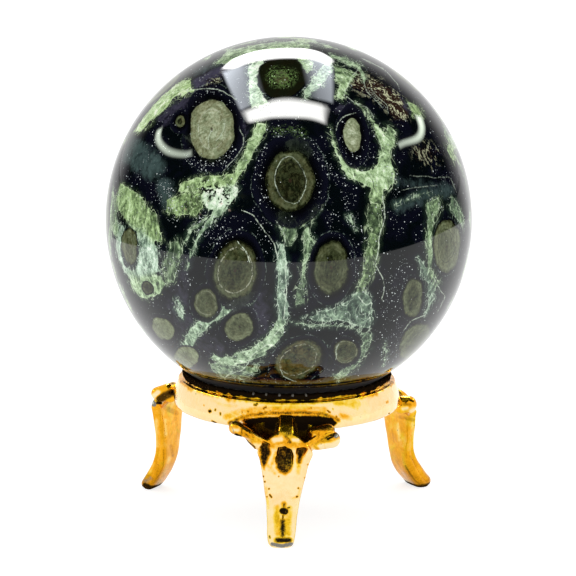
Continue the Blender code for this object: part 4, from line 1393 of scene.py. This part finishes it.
def make_leg(name, number):
    """A casting with its facets, stood under the ring and painted."""
    front = name == "leg_front"
    casting = leg_casting(FRONT_RIB_MM if front else SIDE_RIB_MM, ROLLS_MM[name])
    own = vertex_rows(casting, "co").astype(float) / MM
    normals = vertex_rows(casting, "normal")
    across, radius, height = own.T.copy()
    sections = np.array(LEG_SECTIONS_MM)[::-1]
    face = np.interp(height, sections[:, 1], sections[:, 0])
    facing = fade(radius, face - 0.6, face - 0.25)
    uneven = FACET_RAGGED_MM * wander(own, 0.8, 40 + number)
    cut, cover = facet_cut(across + uneven[:, 0], height + uneven[:, 2])
    own[:, 1] -= cut * facing
    toe = (1 - fade(height, 2.5, 7.0)) * TOE_SWELL_MM[name]
    own += normals * toe[:, None]
    swell = wander(own, LEG_WAVE_MM, 20 + number)
    placed = stood_up(own + SWELL_MM * swell, *LEG_PLACES[name])
    leg = bpy.data.objects.new(name.replace("leg", "casting"), casting)
    bpy.context.scene.collection.objects.link(leg)
    leg.data.vertices.foreach_set("co", (placed * MM).astype(np.float32).ravel())
    leg.data.update()
    leg.data.shade_smooth()

    head, shaded_pocket, scoop, rib = head_forms(across, radius, height, front)
    stripes = wander(own * (2.4, 0.5, 0.5), 1.0, 30 + number)[:, 0]
    if front:
        seen = np.maximum(fade(normals[:, 1], 0.0, 0.3), head)
        # Painted shade: the front leg's sides, turned away from its face, and its head get a deeper tone
        turned_shade = 1 - fade(normals[:, 1], 0.2, 0.7)
        tone = FRONT_FACE_TONE + FRONT_TURN_SHADE_TONE * turned_shade + FRONT_TURN_SHADE_TONE * head
        tone = np.maximum(tone, FRONT_KNEE_TONE * fade(height, 13.0, 13.7))
    else:
        seen = 1.0
        # Painted reflection: the side legs get a deeper orange than the front leg's face, darker towards the
        # floor
        tone = SIDE_LEG_REFLECTION_TONE + 0.06 * swell[:, 2] + 0.18 * (1 - fade(placed[:, 2], 0.5, 7.0))
        tone = np.maximum(tone, SIDE_TOE_TONE * (1 - fade(placed[:, 2], 0.1, 1.4)))
    # Painted shade in the scoops and pockets, painted reflection on the rib and the facets
    tone = np.maximum(tone, (SCOOP_SHADE_TONE + 0.50 * stripes) * scoop)
    tone = np.maximum(tone, np.maximum(RIB_REFLECTION_TONE * rib, POCKET_SHADE_TONE * shaded_pocket))
    tone = np.maximum(tone, FACET_REFLECTION_TONE * cover * facing)
    x, y = to_pixels(placed * MM)
    paint = LEG_PAINT_PX[name]
    # Soft and crisp strokes add deeper gold, pits and painted shade; pale strokes are painted highlights
    tone = np.maximum(tone, painted(x, y, paint["soft"], 2.6) * seen)
    tone = np.maximum(tone, painted(x, y, paint["crisp"], 0.8) * seen)
    tone = np.maximum(tone - painted(x, y, paint["pale"], 1.8) * seen, 0)
    olive = 0.3 + 0.4 * rib + 0.6 * (1 - fade(height, 5.0, 7.0)) * front
    store(leg, "finish", np.stack([tone, olive, painted(x, y, paint["bare_and_glint"], 1.2)], -1))
    leg.data.materials.append(gilt_material("gilt_" + name, 1.0 if front else SIDE_LEG_MOTTLING))
    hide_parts(name)
    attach(leg, "root")
    return leg


# Studio

CARD_DISTANCE = 0.5
ROOM_DISTANCE = 1.2
ROOM_FULL = math.radians(56)
ROOM_END = math.radians(28)
ROOM_LIGHT = 1.15
TABLE_REACH = 20
FAR = 4.0
# Lights that the stone mirrors: strength, colour, then lines across the light with the glow at each
LIGHTS_PX = {
    "rear_arc": (30.0, (1.0, 1.0, 0.98), (
        (0.0, ((219, 69.5), (235, 57.5), (261, 49.5), (296, 47.5), (319, 51), (337, 61))),
        (1.0, ((222, 70), (236, 60.5), (261.8, 53), (296, 51), (318, 54), (335, 62.5))),
        (1.0, ((225, 70.5), (248, 60), (274, 55.5), (296, 55), (314, 56.5), (333, 64))),
        (0.0, ((228, 73), (251, 64), (275, 60), (296, 59.5), (313, 61.5), (332, 68.5))),
    )),
    "front_band": (32.0, (1.0, 1.0, 0.97), (
        (0.0, ((239, 111), (264, 101.5), (276, 97.5), (296, 97), (331, 104.5))),
        (1.0, ((241, 115.5), (265.6, 106.5), (276, 103), (296, 103), (331, 109.5))),
        (1.0, ((245, 121.5), (261.8, 117.5), (276, 115.5), (308, 116), (328, 121.5))),
        (0.0, ((246, 125), (262, 122), (276, 119.5), (308, 120.5), (328, 126.5))),
    )),
    "left_veil": (12.0, (0.86, 0.92, 1.0), (
        (0.0, ((220.5, 71), (226.5, 86), (233.5, 100), (239.5, 113))),
        (1.0, ((224, 70), (230, 85), (237, 99), (243, 111))),
        (0.7, ((238, 65), (243, 80), (249, 94), (254, 106))),
        (0.0, ((256, 60), (260, 74), (264, 88), (268, 101))),
    )),
    "right_veil": (10.0, (0.86, 0.92, 1.0), (
        (0.0, ((300, 58), (302, 72), (305, 86), (307, 99))),
        (0.7, ((313, 58), (315, 72), (317, 87), (319, 101))),
        (1.0, ((329, 62), (330, 76), (331, 90), (331, 104))),
        (0.0, ((334, 63), (335, 77), (335, 91), (334, 105))),
    )),
    "left_hook": (12.0, (0.88, 1.0, 0.82), (
        (0.0, ((163.5, 125), (162, 137), (170, 146), (184, 149.5), (194, 148))),
        (1.0, ((160.5, 127), (159.8, 140), (168, 150), (183, 153.8), (193, 151.8))),
        (1.0, ((159, 127.5), (158, 141), (167, 151.8), (182.5, 155.5), (193, 153.4))),
        (0.0, ((156, 128.5), (154.5, 142.5), (165, 155.5), (182.5, 159), (194, 156.5))),
    )),
    "right_hook": (12.0, (0.88, 1.0, 0.82), (
        (0.0, ((413.5, 113), (417.5, 127), (414, 134.5), (402, 139), (396, 142))),
        (1.0, ((417, 114), (420.8, 128), (417, 137.2), (403.3, 142.3), (397.7, 145.3))),
        (1.0, ((418.5, 114), (422.3, 128.3), (418.3, 138.8), (404, 143.8), (398.4, 146.8))),
        (0.0, ((422, 113), (426, 129), (421.5, 142), (405.5, 147.5), (400, 150.5))),
    )),
}
# Where the stone mirrors the far edge of the lit floor
FLOOR_EDGE_PX = (
    (106, 236), (125, 244), (160, 251), (205, 258), (250, 262), (290, 263), (335, 261), (375, 255),
    (410, 246), (440, 234), (470, 219),
)
WORLD_LIGHT = 1.05
FLOOR_TINTS = ((0.44, 0.44, 0.44), (0.46, 0.46, 0.46))
FLOOR_GLOW = 0.74


def emission(name, colour, strength, stored=None):
    """An even light, or one that a stored number turns from clear to full."""
    material = bpy.data.materials.new(name)
    material.use_nodes = True
    tree = material.node_tree
    tree.nodes.remove(tree.nodes["Principled BSDF"])
    glow = tree.nodes.new("ShaderNodeEmission")
    glow.inputs["Color"].default_value = (*colour, 1.0)
    glow.inputs["Strength"].default_value = strength
    shown = glow.outputs[0]
    if stored:
        share = tree.nodes.new("ShaderNodeAttribute")
        share.attribute_name = stored
        mixed = tree.nodes.new("ShaderNodeMixShader")
        tree.links.new(share.outputs["Fac"], mixed.inputs[0])
        tree.links.new(tree.nodes.new("ShaderNodeBsdfTransparent").outputs[0], mixed.inputs[1])
        tree.links.new(glow.outputs[0], mixed.inputs[2])
        shown = mixed.outputs[0]
    tree.links.new(shown, tree.nodes["Material Output"].inputs["Surface"])
    return material


def stage_card(name, rows, material):
    """A sheet through rows of points. Only mirroring surfaces see it."""
    count = len(rows[0])
    points = [tuple(point) for row in rows for point in row]
    faces = []
    for i in range(len(rows) - 1):
        for j in range(count - 1):
            corner = i * count + j
            faces.append((corner, corner + 1, corner + count + 1, corner + count))
    card = mesh_object(name, points, faces)
    card.data.materials.append(material)
    card.visible_camera = False
    card.visible_shadow = False
    card.visible_diffuse = False
    card.visible_transmission = False
    return card


def mirrored_light(name, strength, colour, lines):
    rows, glows = [], []
    for glow, points in lines:
        points = smooth_rows(points, 8)
        row = []
        for (x, y), share in zip(points, np.linspace(0, 1, len(points))):
            touch, direction = mirror(x, y)
            row.append(touch + direction * CARD_DISTANCE)
            glows.append(glow * float(fade(min(share, 1 - share), 0.0, 0.08)))
        rows.append(row)
    card = stage_card(name, rows, emission(name, colour, strength, "glow"))
    store(card, "glow", glows)


def light_only(card, takers):
    """Lets a card light only the given objects."""
    group = bpy.data.collections.new(card.name + "_takers")
    for obj in takers:
        group.objects.link(obj)
    card.light_linking.receiver_collection = group


def make_floor():
    corners = [(-FAR, -FAR, 0), (FAR, -FAR, 0), (FAR, FAR, 0), (-FAR, FAR, 0)]
    floor = mesh_object("floor", corners, [(0, 1, 2, 3)])
    paper = Look("floor_paper")
    tint = paper.mix(paper.noise(0.02, 2.0), *FLOOR_TINTS)
    paper.put(paper.shader.inputs["Emission Color"], (1.0, 1.0, 1.0))
    floor.data.materials.append(paper.finish(Base_Color=tint, Roughness=0.9, Emission_Strength=FLOOR_GLOW))


def make_room(takers):
    """The room round the table and the table's far part, bright in the gilding and dark in the stone."""
    side = np.cross((0, 0, 1), TO_CAMERA)
    side /= np.linalg.norm(side)
    rise = np.cross(TO_CAMERA, side)
    room = []
    for angle in np.linspace(0.001, math.pi - ROOM_END, 80):
        turns = np.linspace(0, 2 * math.pi, 181)[:, None]
        out = side * np.cos(turns) + rise * np.sin(turns)
        room.append(STONE_CENTRE + ROOM_DISTANCE * (TO_CAMERA * math.cos(angle) + out * math.sin(angle)))
    edge = []
    for x, y in smooth_rows(FLOOR_EDGE_PX, 6):
        touch, direction = mirror(x, y)
        edge.append(touch - direction * touch[2] / direction[2])
    edge = np.array(edge)
    table = []
    for reach in np.geomspace(1, TABLE_REACH, 40):
        row = edge * reach
        row[:, 1] -= (reach - 1) / (TABLE_REACH - 1)
        row[:, 2] = MM
        table.append(row)
    paint = emission("room", (1.0, 0.98, 0.95), ROOM_LIGHT, "cover")
    for name, rows in (("room_round", room), ("table_beyond", table)):
        card = stage_card(name, rows, paint)
        offset = np.concatenate(rows) - STONE_CENTRE
        behind = np.arccos(np.clip(-(offset @ TO_CAMERA) / np.linalg.norm(offset, axis=1), -1, 1))
        store(card, "cover", fade(behind, ROOM_END, ROOM_FULL))
        light_only(card, takers)


def make_studio(takers):
    world = bpy.data.worlds.new("studio")
    bpy.context.scene.world = world
    world.use_nodes = True
    background = world.node_tree.nodes["Background"].inputs
    background["Color"].default_value = (1.0, 1.0, 1.0, 1.0)
    background["Strength"].default_value = WORLD_LIGHT
    make_floor()
    for name, (strength, colour, lines) in LIGHTS_PX.items():
        mirrored_light(name, strength, colour, lines)
    make_room(takers)


make_camera()
make_stone()
ring = make_ring()
legs = [make_leg(name, number) for number, name in enumerate(LEG_PLACES)]
make_studio([ring, *legs])
bpy.context.scene.view_settings.view_transform = "Standard"
